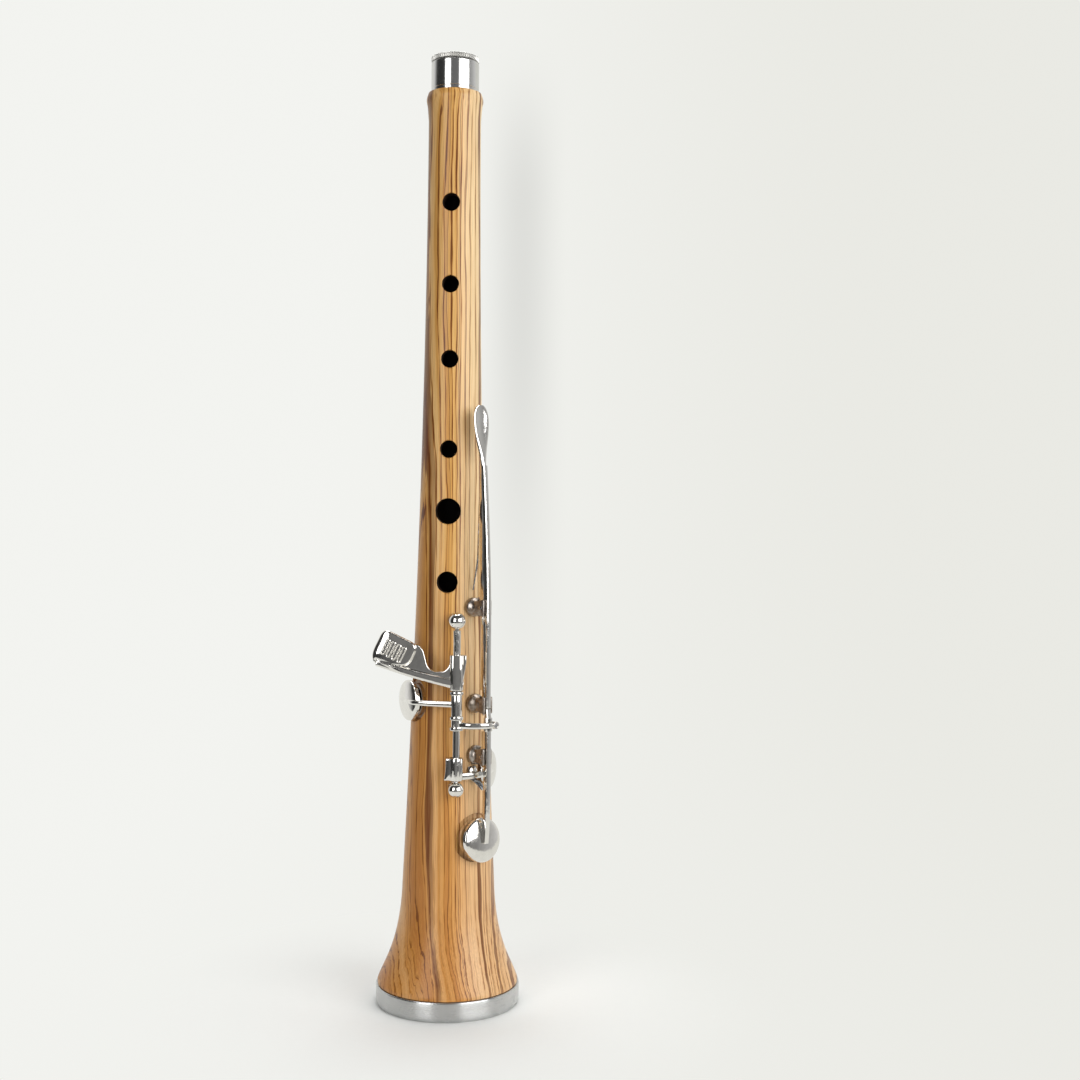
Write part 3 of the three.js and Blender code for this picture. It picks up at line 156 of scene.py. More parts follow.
# %% Turned work
def lathe(outline, sides=72):
    """Spins a closed outline of (radius, height) points round Z."""
    corners, faces, rings = [], [], []
    for radius, height in outline:
        if radius < 1e-6:
            rings.append([len(corners)] * sides)
            corners.append(Vector((0, 0, height)))
            continue
        rings.append(list(range(len(corners), len(corners) + sides)))
        for j in range(sides):
            turn = 2 * math.pi * j / sides
            corners.append(Vector((radius * math.cos(turn), radius * math.sin(turn), height)))
    for low, high in zip(rings, rings[1:] + rings[:1]):
        for j in range(sides):
            k = (j + 1) % sides
            face = list(dict.fromkeys((low[j], low[k], high[k], high[j])))
            if len(face) > 2:
                faces.append(tuple(face))
    return Form(corners, faces)


def rod(radius, start, end, sides=32, edge=0.12):
    """A turned rod along Z with its two edges broken."""
    edge = min(edge, radius / 2)
    return lathe(softened([(0, start), (radius, start), (radius, end), (0, end)], edge), sides)


print("faces of a turned disc:", len(lathe([(0, 0), (5, 0), (5, 1), (0, 1)]).faces))

# %% Outlines and curves
def softened(outline, radius, steps=3):
    """Rounds the corners of a closed outline, apart from those on the axis."""
    points = [Vector(p[:2]) for p in outline]
    result = []
    for i, corner in enumerate(points):
        before, after = points[i - 1], points[(i + 1) % len(points)]
        back, ahead = before - corner, after - corner
        straight = back.length and ahead.length and abs(back.angle(ahead) - math.pi) < 0.2
        if corner.x < 1e-6 or straight:
            result.append(corner)
            continue
        trim = min(radius, 0.45 * back.length, 0.45 * ahead.length)
        start, end = corner + back.normalized() * trim, corner + ahead.normalized() * trim
        result += bend([start, corner, end], steps)
    return result


def bend(points, steps):
    """Bezier curve through its first and last points, of any degree."""
    curve = []
    for i in range(steps + 1):
        t = i / steps
        level = [Vector(p) for p in points]
        while len(level) > 1:
            level = [a.lerp(b, t) for a, b in zip(level, level[1:])]
        curve.append(level[0])
    return curve


def flowing(points, steps):
    """A smooth curve through all the points, evenly divided along its length."""
    points = [Vector(p) for p in points]
    points = [2 * points[0] - points[1]] + points + [2 * points[-1] - points[-2]]
    fine = []
    for p0, p1, p2, p3 in zip(points, points[1:], points[2:], points[3:]):
        k0, k1, k2 = [(b - a).length ** 0.5 for a, b in ((p0, p1), (p1, p2), (p2, p3))]
        start = ((p1 - p0) / k0 - (p2 - p0) / (k0 + k1) + (p2 - p1) / k1) * k1
        end = ((p2 - p1) / k1 - (p3 - p1) / (k1 + k2) + (p3 - p2) / k2) * k1
        for i in range(40):
            t = i / 40
            fine.append(p1 * (2 * t ** 3 - 3 * t ** 2 + 1) + start * (t ** 3 - 2 * t ** 2 + t)
                        + p2 * (3 * t ** 2 - 2 * t ** 3) + end * (t ** 3 - t ** 2))
    fine.append(points[-2])
    reach = [0.0]
    for a, b in zip(fine, fine[1:]):
        reach.append(reach[-1] + (b - a).length)
    even, k = [], 0
    for i in range(steps + 1):
        goal = reach[-1] * i / steps
        while k < len(fine) - 2 and reach[k + 1] < goal:
            k += 1
        span = max(reach[k + 1] - reach[k], 1e-9)
        even.append(fine[k].lerp(fine[k + 1], (goal - reach[k]) / span))
    return even


print("corners of a rounded square:", len(softened([(1, 0), (2, 0), (2, 1), (1, 1)], 0.2)))

# %% Bars
def bar(points, steps, axis, section, sides=24):
    """A section swept along a curve. section(t) gives height along axis, thickness and dish."""
    line = flowing(points, steps)
    axis = Vector(axis)
    corners, faces = [], []
    for i, centre in enumerate(line):
        ahead = (line[min(i + 1, steps)] - line[max(i - 1, 0)]).normalized()
        across = ahead.cross(axis).normalized()
        height, thickness, dish = (tuple(section(i / steps)) + (0,))[:3]
        for j in range(sides):
            turn = 2 * math.pi * (j + 0.5) / sides
            c, s = [math.copysign(abs(f(turn)) ** 0.7, f(turn)) for f in (math.cos, math.sin)]
            dip = dish * (1 - c * c) if s > 0 else 0
            corners.append(centre + axis * (c * height / 2) + across * (s * thickness / 2 - dip))
    for i in range(steps):
        for j in range(sides):
            k = (j + 1) % sides
            a, b = i * sides + j, i * sides + k
            faces.append((a, b, b + sides, a + sides))
    faces.append(tuple(range(sides)))
    faces.append(tuple(steps * sides + j for j in reversed(range(sides))))
    return Form(corners, faces)


straight_bar = bar([(0, 0, 0), (0, 9, 0)], 4, (0, 0, 1), lambda t: (2, 1))
print("faces of a short bar:", len(straight_bar.faces))

# %% Flat work
def mesh_of(form, weld=0.0):
    """A bmesh of the form, its faces turned outwards."""
    mesh = bmesh.new()
    corners = [mesh.verts.new(corner) for corner in form.corners]
    for face in form.faces:
        mesh.faces.new([corners[i] for i in face])
    if weld:
        bmesh.ops.remove_doubles(mesh, verts=mesh.verts, dist=weld)
    bmesh.ops.recalc_face_normals(mesh, faces=mesh.faces)
    return mesh


def form_of(mesh):
    mesh.verts.index_update()
    form = Form([v.co.copy() for v in mesh.verts],
                [tuple(v.index for v in face.verts) for face in mesh.faces])
    mesh.free()
    return form


def slab(outline, depth, edge=0.2):
    """An outline in X and Y given a thickness along Z, its edges rounded over."""
    count = len(outline)
    corners = [Vector((p[0], p[1], side * depth / 2)) for side in (-1, 1) for p in outline]
    faces = [tuple(reversed(range(count))), tuple(range(count, 2 * count))]
    faces += [(i, (i + 1) % count, count + (i + 1) % count, count + i) for i in range(count)]
    mesh = mesh_of(Form(corners, faces), 1e-4)
    sharp = [e for e in mesh.edges if len(e.link_faces) == 2 and e.calc_face_angle(0) > 0.6]
    if edge:
        bmesh.ops.bevel(mesh, geom=sharp, offset=edge, segments=3, profile=0.5,
                        affect="EDGES", clamp_overlap=True)
    return form_of(mesh)


def rounded_oblong(width, height, corner, steps=8):
    w, h = width / 2, height / 2
    corner = min(corner, w, h)
    points = []
    for x, y, first in ((1, -1, -90), (1, 1, 0), (-1, 1, 90), (-1, -1, 180)):
        for i in range(steps + 1):
            turn = math.radians(first + 90 * i / steps)
            points.append(Vector((x * (w - corner) + corner * math.cos(turn),
                                  y * (h - corner) + corner * math.sin(turn))))
    return points


print("faces of a small slab:", len(slab(rounded_oblong(4, 2, 0.5), 1).faces))

# %% [markdown]
# ## From form to piece
# A piece is a mesh object that rides on one body of the measured model and stands in for one
# of its nodes. Two finishing steps are offered. Cutting uses Blender's exact boolean, for holes
# and screw slots. Forging remeshes joined forms into one skin of tiny squares and smooths it,
# which rounds every joint as silver solder and a polishing wheel do on a cast key.

# %% Pieces
def piece_from(name, form, body, node, finish, angle=35, weld=1e-4):
    """Makes the object, in metres, and gives it its body, node and finish."""
    mesh = bpy.data.meshes.new(name)
    draft = mesh_of(form, weld)
    draft.to_mesh(mesh)
    draft.free()
    mesh.transform(Matrix.Scale(MM, 4))
    return settled(name, mesh, body, node, finish, angle)


def settled(name, mesh, body, node, finish, angle=35):
    mesh.shade_smooth()
    mesh.set_sharp_from_angle(angle=math.radians(angle))
    piece = bpy.data.objects.new(name, mesh)
    bpy.context.scene.collection.objects.link(piece)
    mesh.materials.clear()
    mesh.materials.append(finish)
    if body:
        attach(piece, body)
    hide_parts(node)
    print(name, "has", len(mesh.polygons), "faces")
    return piece


print("pieces are made in metres, with a millimetre as", MM)

# %% Cutting and forging
def with_modifiers(form, *steps):
    """Runs modifiers on a form in millimetres and returns the finished mesh."""
    mesh = bpy.data.meshes.new("draft")
    draft = mesh_of(form, 1e-4)
    draft.to_mesh(mesh)
    draft.free()
    holder = bpy.data.objects.new("draft", mesh)
    bpy.context.scene.collection.objects.link(holder)
    for kind, settings in steps:
        modifier = holder.modifiers.new(kind, kind)
        for name, value in settings.items():
            setattr(modifier, name, value)
    bpy.context.view_layer.update()
    ready = holder.evaluated_get(bpy.context.evaluated_depsgraph_get())
    finished = bpy.data.meshes.new_from_object(ready)
    bpy.data.objects.remove(holder)
    return finished


def forged(form, grain=0.16, rounds=4):
    """One skin over joined forms, its corners eased by smoothing."""
    mesh = with_modifiers(form, ("REMESH", {"mode": "VOXEL", "voxel_size": grain}),
                          ("SMOOTH", {"factor": 0.5, "iterations": rounds}))
    mesh.transform(Matrix.Scale(MM, 4))
    return mesh


def cut(form, cutter):
    """The form less the cutter, by exact boolean."""
    tool = bpy.data.meshes.new("cutter")
    draft = mesh_of(cutter, 1e-4)
    draft.to_mesh(tool)
    draft.free()
    holder = bpy.data.objects.new("cutter", tool)
    bpy.context.scene.collection.objects.link(holder)
    mesh = with_modifiers(form, ("BOOLEAN", {"operation": "DIFFERENCE", "solver": "EXACT",
                                            "object": holder}))
    bpy.data.objects.remove(holder)
    mesh.transform(Matrix.Scale(MM, 4))
    return mesh


print("helpers ready")

# %% [markdown]
# ## Shader sums as plain expressions
# A shader is a graph of small nodes, and a graph is hard to read as code. The class below wraps
# one output socket, so that `1 - mask` or `line * 0.4 + 0.2` adds the Math nodes by itself.
# Any other node comes from one method, which sets the node up before its sockets are filled.

# %% Shade
class Shade:
    """A value on its way through the node tree."""

    def __init__(self, finish, socket):
        self.finish, self.socket = finish, socket

    def sum_of(self, operation, a, b=0.0):
        return self.finish.node("ShaderNodeMath", {"operation": operation}, {0: a, 1: b})

    def __add__(self, other):
        return self.sum_of("ADD", self, other)

    def __radd__(self, other):
        return self.sum_of("ADD", other, self)

    def __sub__(self, other):
        return self.sum_of("SUBTRACT", self, other)

    def __rsub__(self, other):
        return self.sum_of("SUBTRACT", other, self)

    def __mul__(self, other):
        return self.sum_of("MULTIPLY", self, other)

    def __rmul__(self, other):
        return self.sum_of("MULTIPLY", other, self)

    def __truediv__(self, other):
        return self.sum_of("DIVIDE", self, other)

    def __rtruediv__(self, other):
        return self.sum_of("DIVIDE", other, self)

    def __abs__(self):
        return self.sum_of("ABSOLUTE", self)


print("Shade is ready")

# %% Finish
class Finish:
    """A material, or the world, and the nodes that are added to it."""

    def __init__(self, owner):
        self.owner = owner
        owner.use_nodes = True
        self.tree = owner.node_tree
        self.tree.nodes.clear()

    def node(self, kind, settings=None, inputs=None, out=0):
        made = self.tree.nodes.new(kind)
        for name, value in (settings or {}).items():
            if name == "stops":
                self.set_stops(made.color_ramp, value)
            else:
                setattr(made, name, value)
        for name, value in (inputs or {}).items():
            if isinstance(value, Shade):
                self.tree.links.new(value.socket, made.inputs[name])
            else:
                made.inputs[name].default_value = value
        return Shade(self, made.outputs[out])

    def set_stops(self, ramp, stops):
        while len(ramp.elements) < len(stops):
            ramp.elements.new(1.0)
        for element, (place, colour) in zip(ramp.elements, stops):
            element.position = place
            element.color = (*colour, 1.0) if isinstance(colour, tuple) else (colour,) * 3 + (1,)

    def place(self):
        """Where a point lies on the piece, in millimetres."""
        spot = self.node("ShaderNodeTexCoord", out="Object")
        return self.node("ShaderNodeVectorMath", {"operation": "SCALE"}, {0: spot, "Scale": 1000})

    def stretched(self, place, x, y, z):
        return self.node("ShaderNodeVectorMath", {"operation": "MULTIPLY"},
                         {0: place, 1: (x, y, z)})

    def cloud(self, place, scale=1.0, detail=2.0, roughness=0.5):
        """Soft noise over a place, about 0.5 on average."""
        return self.node("ShaderNodeTexNoise", {}, {"Vector": place, "Scale": scale,
                                                   "Detail": detail, "Roughness": roughness})

    def step(self, value, low, high):
        """0 below low, 1 above high, smooth between."""
        return self.node("ShaderNodeMapRange", {"interpolation_type": "SMOOTHSTEP"},
                         {"Value": value, "From Min": low, "From Max": high})

    def mixed(self, share, a, b, blend="MIX"):
        kinds = {"data_type": "RGBA", "blend_type": blend}
        colours = [(*c, 1.0) if isinstance(c, tuple) and len(c) == 3 else c for c in (a, b)]
        return self.node("ShaderNodeMix", kinds, {0: share, 6: colours[0], 7: colours[1]}, out=2)

    def bump(self, height, strength, distance):
        return self.node("ShaderNodeBump", {}, {"Height": height, "Strength": strength,
                                               "Distance": distance * MM})

    def surface(self, **sockets):
        names = {name.replace("_", " ").title().replace("Ior", "IOR"): value
                 for name, value in sockets.items()}
        shader = self.node("ShaderNodeBsdfPrincipled", {}, names)
        return self.ended(shader, "ShaderNodeOutputMaterial")

    def ended(self, shader, kind):
        end = self.tree.nodes.new(kind)
        self.tree.links.new(shader.socket, end.inputs["Surface"])
        return self.owner


def material(name):
    return Finish(bpy.data.materials.new(name))


print("shader helpers ready")

# %% [markdown]
# ## Olive wood
# Olive has a pale golden ground, thin dark growth lines that run nearly straight along the bore
# and bunch here and there, and broad smoky patches. Painted streaks would look like wallpaper
# where the bell flares. So the colour is worked out in the solid: growth rings stand round a
# pith far beside the bore, slightly bent by slow noise, and the lathe cuts through them. The
# flame at the bell then appears by itself. Towards the levers the ground is paler, partly a
# paler band of the wood and partly painted sheen of the bright window there, and on the other
# side it is browner, as painted shade. Each dark line has an amber fringe. The bore and the
# walls of the holes are painted near black, as the shade deep inside them.

# %% Growth rings
def growth(f, place, bend, pith):
    """Distance from the pith, in millimetres, with the trunk's slow wander added."""
    slow = f.node("ShaderNodeTexNoise", {}, {"Vector": f.stretched(place, 0.06, 0.06, 0.0075),
                                             "Scale": 1.0, "Detail": 2.0}, out="Color")
    wander = f.node("ShaderNodeVectorMath", {"operation": "MULTIPLY_ADD"},
                    {0: slow, 1: (bend, bend, 0.0), 2: (-bend / 2, -bend / 2, 0.0)})
    quick = f.node("ShaderNodeTexNoise", {}, {"Vector": f.stretched(place, 0.4, 0.4, 0.035),
                                              "Scale": 1.0, "Detail": 2.0}, out="Color")
    shiver = f.node("ShaderNodeVectorMath", {"operation": "MULTIPLY_ADD"},
                    {0: quick, 1: (1.5, 1.5, 0.0), 2: pith})
    bent = f.node("ShaderNodeVectorMath", {"operation": "ADD"}, {0: place, 1: wander})
    moved = f.node("ShaderNodeVectorMath", {"operation": "ADD"}, {0: bent, 1: shiver})
    flat = f.stretched(moved, 1.0, 1.0, 0.012)
    return f.node("ShaderNodeVectorMath", {"operation": "LENGTH"}, {0: flat}, out="Value")


def ring_noise(f, rings, scale, detail, shift=0.0):
    return f.node("ShaderNodeTexNoise", {"noise_dimensions": "1D"},
                  {"W": rings * scale + shift, "Scale": 1.0, "Detail": detail, "Roughness": 0.6})


def growth_lines(f, rings, per_mm, shift=0.0):
    """Distance to the next of many lines at uneven spacings, in shares of their mean pitch."""
    return f.node("ShaderNodeTexVoronoi", {"voronoi_dimensions": "1D",
                                           "feature": "DISTANCE_TO_EDGE"},
                  {"W": rings * per_mm + shift, "Scale": 1.0}, out="Distance")


print("growth rings ready")

# %% Olive wood finish
def olive_wood():
    f = material("olive wood, oiled and polished")
    place = f.place()
    rings = growth(f, place, 7.0, (-59.0, -12.0, 0.0))
    wide = ring_noise(f, rings, 0.2, 2.0)
    fine = ring_noise(f, rings, 1.9, 2.0, 7.0)
    bold = ring_noise(f, rings, 0.16, 1.0, 21.0)
    fibres = f.cloud(f.stretched(place, 3.4, 3.4, 0.08), 1.0, 3.0)
    dashes = f.cloud(f.stretched(place, 0.9, 0.9, 0.03), 1.0, 2.0)
    patches = f.cloud(f.stretched(place, 0.1, 0.1, 0.016), 1.0, 2.0)
    ground = f.node("ShaderNodeValToRGB", {"stops": [
        (0.3, (0.56, 0.27, 0.07)), (0.42, (0.66, 0.36, 0.1)),
        (0.54, (0.74, 0.44, 0.15)), (0.68, (0.85, 0.58, 0.27))]},
        {0: wide * 0.7 + fine * 0.3})
    strength = f.step(patches, 0.34, 0.6)
    broken = f.step(dashes, 0.36, 0.6)
    height = f.node("ShaderNodeSeparateXYZ", {}, {0: place}, out="Z")
    bell = 1 - f.step(height, 20.0, 190.0)
    # Painted light: towards the levers the ground turns paler, partly a paler band of the wood and
    # partly painted sheen of the bright window; on the far side it turns browner as painted shade.
    painted_shade_side, pale_band_and_painted_sheen = f.step(rings, 62.0, 69.0), 1 - f.step(rings, 53.0, 61.5)
    paler = f.mixed(pale_band_and_painted_sheen * 0.62, ground, (0.88, 0.71, 0.45))
    warm = f.mixed(bell * 0.8 + strength * 0.1, paler, (0.75, 0.6, 0.5), "MULTIPLY")
    warm = f.mixed(painted_shade_side * 0.6, warm, (0.74, 0.64, 0.5), "MULTIPLY")
    streak = 1 - f.step(abs(bold - 0.5), 0.006, 0.02)
    crowd = f.step(ring_noise(f, rings, 0.5, 1.0, 43.0), 0.44, 0.56) * (1 - pale_band_and_painted_sheen * 0.5)
    upper = f.step(height, 110.0, 210.0) * (1 - pale_band_and_painted_sheen * 0.75)
    spacing = growth_lines(f, rings, 0.55)
    lines = 1 - f.step(spacing - broken * 0.09, 0.0, 0.05)
    halo = (1 - f.step(spacing, 0.05, 0.4)) * (crowd * 0.6 + upper * 0.4)
    threads = 1 - f.step(growth_lines(f, rings, 1.15, 5.0), 0.02, 0.13)
    soaked = f.mixed(halo * 0.4, warm, (0.5, 0.22, 0.05))
    threaded = f.mixed(threads * (0.08 + 0.4 * broken * strength), soaked, (0.34, 0.12, 0.018))
    ink = 0.14 + broken * 0.14 + crowd * 0.6 + upper * (0.35 + broken * 0.3)
    ink = f.node("ShaderNodeMath", {"operation": "MINIMUM"}, {0: ink, 1: 0.97})
    fringe = (1 - f.step(spacing - broken * 0.09, 0.02, 0.15)) * ink
    fringed = f.mixed(fringe * 0.75, threaded, (0.4, 0.15, 0.016))
    lined = f.mixed(lines * ink, fringed, (0.13, 0.032, 0.002))
    streaked = f.mixed(streak * (0.45 + strength * 0.4), lined, (0.13, 0.034, 0.004))
    grain = f.node("ShaderNodeMapRange", {}, {"Value": fibres, "From Min": 0.25,
                                             "From Max": 0.75, "To Min": 0.86, "To Max": 1.1})
    shaded = f.node("ShaderNodeVectorMath", {"operation": "SCALE"},
                    {0: streaked, "Scale": grain})
    relief = f.bump(fibres * 0.7 - lines * 0.3, 0.4, 0.04)
    return f.surface(base_color=shaded, roughness=0.3 + fibres * 0.16, normal=relief,
                     specular_ior_level=0.3, coat_weight=0.1, coat_roughness=0.2)


# Painted shade: the bore and the walls of the finger holes are coloured near black for the shade deep
# inside them.
def inside_shade_paint():
    f = material("painted shade inside the bore")
    mottle = f.cloud(f.stretched(f.place(), 1.0, 1.0, 0.1), 1.0, 2.0)
    colour = f.mixed(mottle, (0.008, 0.004, 0.002), (0.04, 0.018, 0.008))
    return f.surface(base_color=colour, roughness=0.5 + mottle * 0.2)


wood_finish, inside_shade_finish = olive_wood(), inside_shade_paint()
print("made", wood_finish.name, "and", inside_shade_finish.name)

# %% [markdown]
# ## Metals
# The keys are plated and buffed to a mirror, so nearly all their look is what they reflect.
# What tells real plate from chrome paint is small: a very slow waviness left by the buff, faint
# clouding where fingers rest, and a warmer white than steel. The rings at foot and head are
# only brushed on the lathe, so fine lines run round them. Noise squeezed along Z gives those,
# and on ring and sleeve an anisotropic sheen stretches the highlights. A picture of scratches
# could do the same, but it would have to be unwrapped, and it would repeat.

# %% Metal finishes
def buffed_plate():
    f = material("nickel silver, plated and buffed")
    place = f.place()
    clouding = f.cloud(place, 0.35, 3.0)
    wave = f.cloud(place, 0.4, 1.0)
    colour = f.mixed(clouding, (0.72, 0.7, 0.66), (0.86, 0.84, 0.8))
    return f.surface(base_color=colour, metallic=1.0, roughness=0.05 + clouding * 0.1,
                     normal=f.bump(wave, 0.35, 0.12))


def lathe_brushed(name, dark, light, rough, depth, pull=0.9):
    f = material(name)
    place = f.place()
    lines = f.cloud(f.stretched(place, 0.05, 0.05, 9.0), 1.0, 3.0, 0.7)
    clouding = f.cloud(place, 0.12, 2.0)
    colour = f.mixed(clouding, dark, light)
    return f.surface(base_color=colour, metallic=1.0, anisotropic=pull,
                     anisotropic_rotation=0.25, roughness=rough + clouding * 0.08 + lines * 0.06,
                     normal=f.bump(lines, 0.6, depth))


# Painted shade: the posts' colour is darkened and browned, partly as tarnished metal and partly as
# painted shade and painted reflection of the wood round them.
def tarnished_and_shaded_plate():
    f = material("nickel silver posts, tarnish and painted shade")
    place = f.place()
    tarnish_and_shade = f.cloud(place, 0.9, 3.0)
    colour = f.mixed(f.step(tarnish_and_shade, 0.3, 0.7), (0.26, 0.215, 0.18), (0.46, 0.42, 0.38))
    return f.surface(base_color=colour, metallic=1.0, roughness=0.22 + tarnish_and_shade * 0.2,
                     normal=f.bump(tarnish_and_shade, 0.3, 0.06))


def bright_steel(name, colour, rough):
    f = material(name)
    place = f.place()
    scuff = f.cloud(f.stretched(place, 2.0, 2.0, 0.5), 1.0, 2.0)
    tint = f.mixed(scuff, tuple(0.85 * c for c in colour), colour)
    return f.surface(base_color=tint, metallic=1.0, roughness=rough + scuff * 0.1,
                     normal=f.bump(scuff, 0.15, 0.02))


def drawn_brass():
    f = material("drawn brass tube")
    place = f.place()
    mottle = f.cloud(place, 0.5, 3.0)
    colour = f.mixed(mottle, (0.42, 0.27, 0.09), (0.74, 0.56, 0.27))
    return f.surface(base_color=colour, metallic=1.0, roughness=0.22 + mottle * 0.2)


plate_finish, post_finish = buffed_plate(), tarnished_and_shaded_plate()
ring_finish = lathe_brushed("nickel silver, brushed on the lathe", (0.44, 0.445, 0.445),
                            (0.66, 0.66, 0.65), 0.2, 0.014)
sleeve_finish = lathe_brushed("nickel silver, turned sleeve", (0.58, 0.575, 0.56),
                              (0.72, 0.715, 0.7), 0.16, 0.008)
knurl_finish = lathe_brushed("nickel silver, knurled", (0.5, 0.495, 0.47),
                             (0.7, 0.69, 0.66), 0.42, 0.006, 0.0)
screw_finish = bright_steel("screw steel", (0.56, 0.56, 0.57), 0.14)
spring_finish = bright_steel("spring steel", (0.4, 0.42, 0.45), 0.22)
brass_finish = drawn_brass()
print("metals ready")

# %% [markdown]
# ## Pad leather
# Each cup holds a felt disc wrapped in thin dark leather. The leather is pulled tight over the
# edge, where it puckers, and the tone hole's seat presses a shallow ring into its face. Bump
# could fake both, but it would leave the pad's outline smooth. So puckers and ring are
# modelled, and only the skin's own grain is left to the shader.

# %% Leather finish
def pad_skin():
    f = material("pad leather")
    place = f.place()
    cells = f.node("ShaderNodeTexVoronoi", {"feature": "DISTANCE_TO_EDGE"},
                   {"Vector": place, "Scale": 3.2}, out="Distance")
    cloud = f.cloud(place, 0.5, 3.0)
    colour = f.mixed(cloud, (0.045, 0.017, 0.009), (0.13, 0.058, 0.03))
    pores = f.step(cells, 0.0, 0.12)
    return f.surface(base_color=colour, roughness=0.62 - pores * 0.12,
                     normal=f.bump(pores, 0.4, 0.05))


leather_finish = pad_skin()
print("made", leather_finish.name)

# %% [markdown]
# ## The turned body
# The body is one outline spun round the bore: flared bell, cone, bead and a tenon that hides
# under the sleeve. Finger holes are drilled through the front, a thumb hole through the back,
# and each pad has its seat: a raised lip in a flat-bottomed pocket. All the cutters are joined
# and taken away in one exact boolean, so that every rim keeps the shape it was drawn with.

# %% Outline of the body
finger_heights = [length * s for s in (0.8415, 0.7559, 0.6774, 0.5832, 0.5185, 0.4447)]
finger_hole = 6.2
finger_widths = [finger_hole * s for s in (1.02, 0.98, 1, 1, 1.47, 1.21)]
thumb_height, thumb_width = 299.0, 6.0
cups = {
    "side": {"angle": 77.0, "height": 84.0, "across": 13.6, "hole": 8.0},
    "vent": {"angle": -62.6, "height": 108.9, "across": 14.4, "hole": 8.6},
    "low": {"angle": 44.4, "height": 61.1, "across": 15.6, "hole": 9.4},
}


def body_outline():
    foot = ring_foot + gap
    rebate = ring_diameter / 2 - ring_wall - gap
    step = ring_height + gap
    bell, cone = bell_diameter / 2, cone_foot / 2
    run, spread = flare_height - step, bell - cone
    flare = bend([(bell, step), (bell - spread * 0.16, step + run * 0.16),
                  (cone + spread * 0.07, step + run * 0.36), (cone, flare_height)], 24)
    outside = [(bore_mouth / 2, foot), (rebate, foot), (rebate, step - 0.05), (bell - 0.25, step - 0.05)]
    outside += flare[1:]
    for i in range(1, 49):
        height = flare_height + (waist - flare_height) * i / 48
        outside.append((body_radius(height), height))
    bead = flowing([(waist_diameter / 2, waist, 0),
                    ((waist_diameter + bead_diameter) / 4, shoulder - waist_drop / 2, 0),
                    (bead_diameter / 2, shoulder - bead_drop, 0),
                    (shoulder_diameter / 2, shoulder, 0)], 16)
    outside += [(p.x, p.y) for p in bead[1:]]
    tenon = head_diameter / 2 - sleeve_wall - gap
    top = tenon_top()
    socket = liner_diameter / 2 + gap
    floor = top - liner_length - gap
    throat = bend([(bore_foot / 2, flare_height),
                   (bore_foot / 2 + bore_radius(0) - bore_radius(flare_height), flare_height / 3),
                   (bore_mouth / 2, foot)], 24)
    inside = [(tenon, shoulder), (tenon, top), (socket, top), (socket, floor),
              (bore_radius(floor), floor)] + throat[:-1]
    return [tuple(p)[:2] for p in outside + inside]


def tenon_top():
    return shoulder + gap + sleeve_height - 1.6 - gap


print("points in the body's outline:", len(body_outline()))

# %% Holes and pad seats
def drilled(across, angle, height):
    """Cutter for a hole whose rim has been broken with a round stone."""
    skin, r, eased = body_radius(height), across / 2, 0.45
    rim = bend([(r, skin - eased), (r, skin - 0.05), (r + 2 * eased, skin + eased)], 5)
    outline = [(0, 0), (r, 0)] + [tuple(p) for p in rim] + [(r + 2 * eased, skin + 3), (0, skin + 3)]
    return lathe(outline, 48).at(seat_frame(angle, height))


def pad_seat(cup):
    """Cutter for a tone hole, its raised lip and the pocket round it."""
    seat = body_radius(cup["height"]) - seat_drop
    hole, lip = cup["hole"] / 2, cup["hole"] / 2 + 1.1
    pocket, floor, top = cup["across"] / 2 + 0.7, seat - 0.6, body_radius(cup["height"]) + 3
    crown = bend([(hole, seat - 0.25), (hole, seat), (hole + 0.3, seat)], 3)
    outline = [(0, 0), (hole, 0)] + [tuple(p) for p in crown]
    outline += [(lip, seat), (lip + 0.5, floor), (pocket, floor), (pocket, top), (0, top)]
    return lathe(outline, 72).at(seat_frame(cup["angle"], cup["height"]))


print("faces that cut one pad seat:", len(pad_seat(cups["low"]).faces))

# %% Wooden body
def turned_body():
    cutters = drilled(thumb_width, 180, thumb_height)
    for across, height in zip(finger_widths, finger_heights):
        cutters += drilled(across, 0, height)
    for cup in cups.values():
        cutters += pad_seat(cup)
    return cut(lathe(body_outline(), 144), cutters)


def paint_inside_shade(piece):
    """Gives the bore and the walls of the finger holes the near-black painted shade."""
    piece.data.materials.append(inside_shade_finish)
    for face in piece.data.polygons:
        centre = face.center / MM
        reach = math.hypot(centre.x, centre.y)
        depth = body_radius(max(centre.z, flare_height)) - reach
        in_line = abs(centre.x) < 6 and centre.z > 140
        if centre.z > 45 and (depth > 3 or in_line and depth > 0.75) and centre.z < shoulder:
            face.material_index = 1
    return sum(face.material_index for face in piece.data.polygons)


shawm = settled("shawm_body", turned_body(), "body", "wooden_body", wood_finish, 28)
print("faces inside:", paint_inside_shade(shawm))

# %% [markdown]
# ## Rings, sleeve and socket
# The bell ring is spun sheet with a turned-in lip at its foot, so its edges are soft. The
# sleeve has a lip inside its top, and the knurled ring sits on that with a plain spigot
# below. Straight knurling is a ring of fine teeth, which one loop makes by swinging the rim
# in and out, and a remesh would only blur it.

# %% Bell ring
def bell_band():
    outer = ring_diameter / 2
    inner, lip = outer - ring_wall, outer - ring_foot_width
    outside = bend([(outer - 0.75, 0.0), (outer - 0.05, 0.3), (outer, 1.6)], 6)
    barrel = bend([(outer, 1.6), (outer, ring_height / 2), (outer - 0.02, ring_height - 0.5)], 4)
    rim = bend([(outer - 0.02, ring_height - 0.5), (outer - 0.05, ring_height),
                (outer - 0.4, ring_height)], 4)
    outline = [(lip, 0.0)] + outside + barrel[1:] + rim[1:]
    outline += [(inner, ring_height), (inner, ring_foot), (lip, ring_foot)]
    return lathe([tuple(p)[:2] for p in outline], 160)


piece_from("bell_band", bell_band(), "body", "bell_ring", ring_finish)

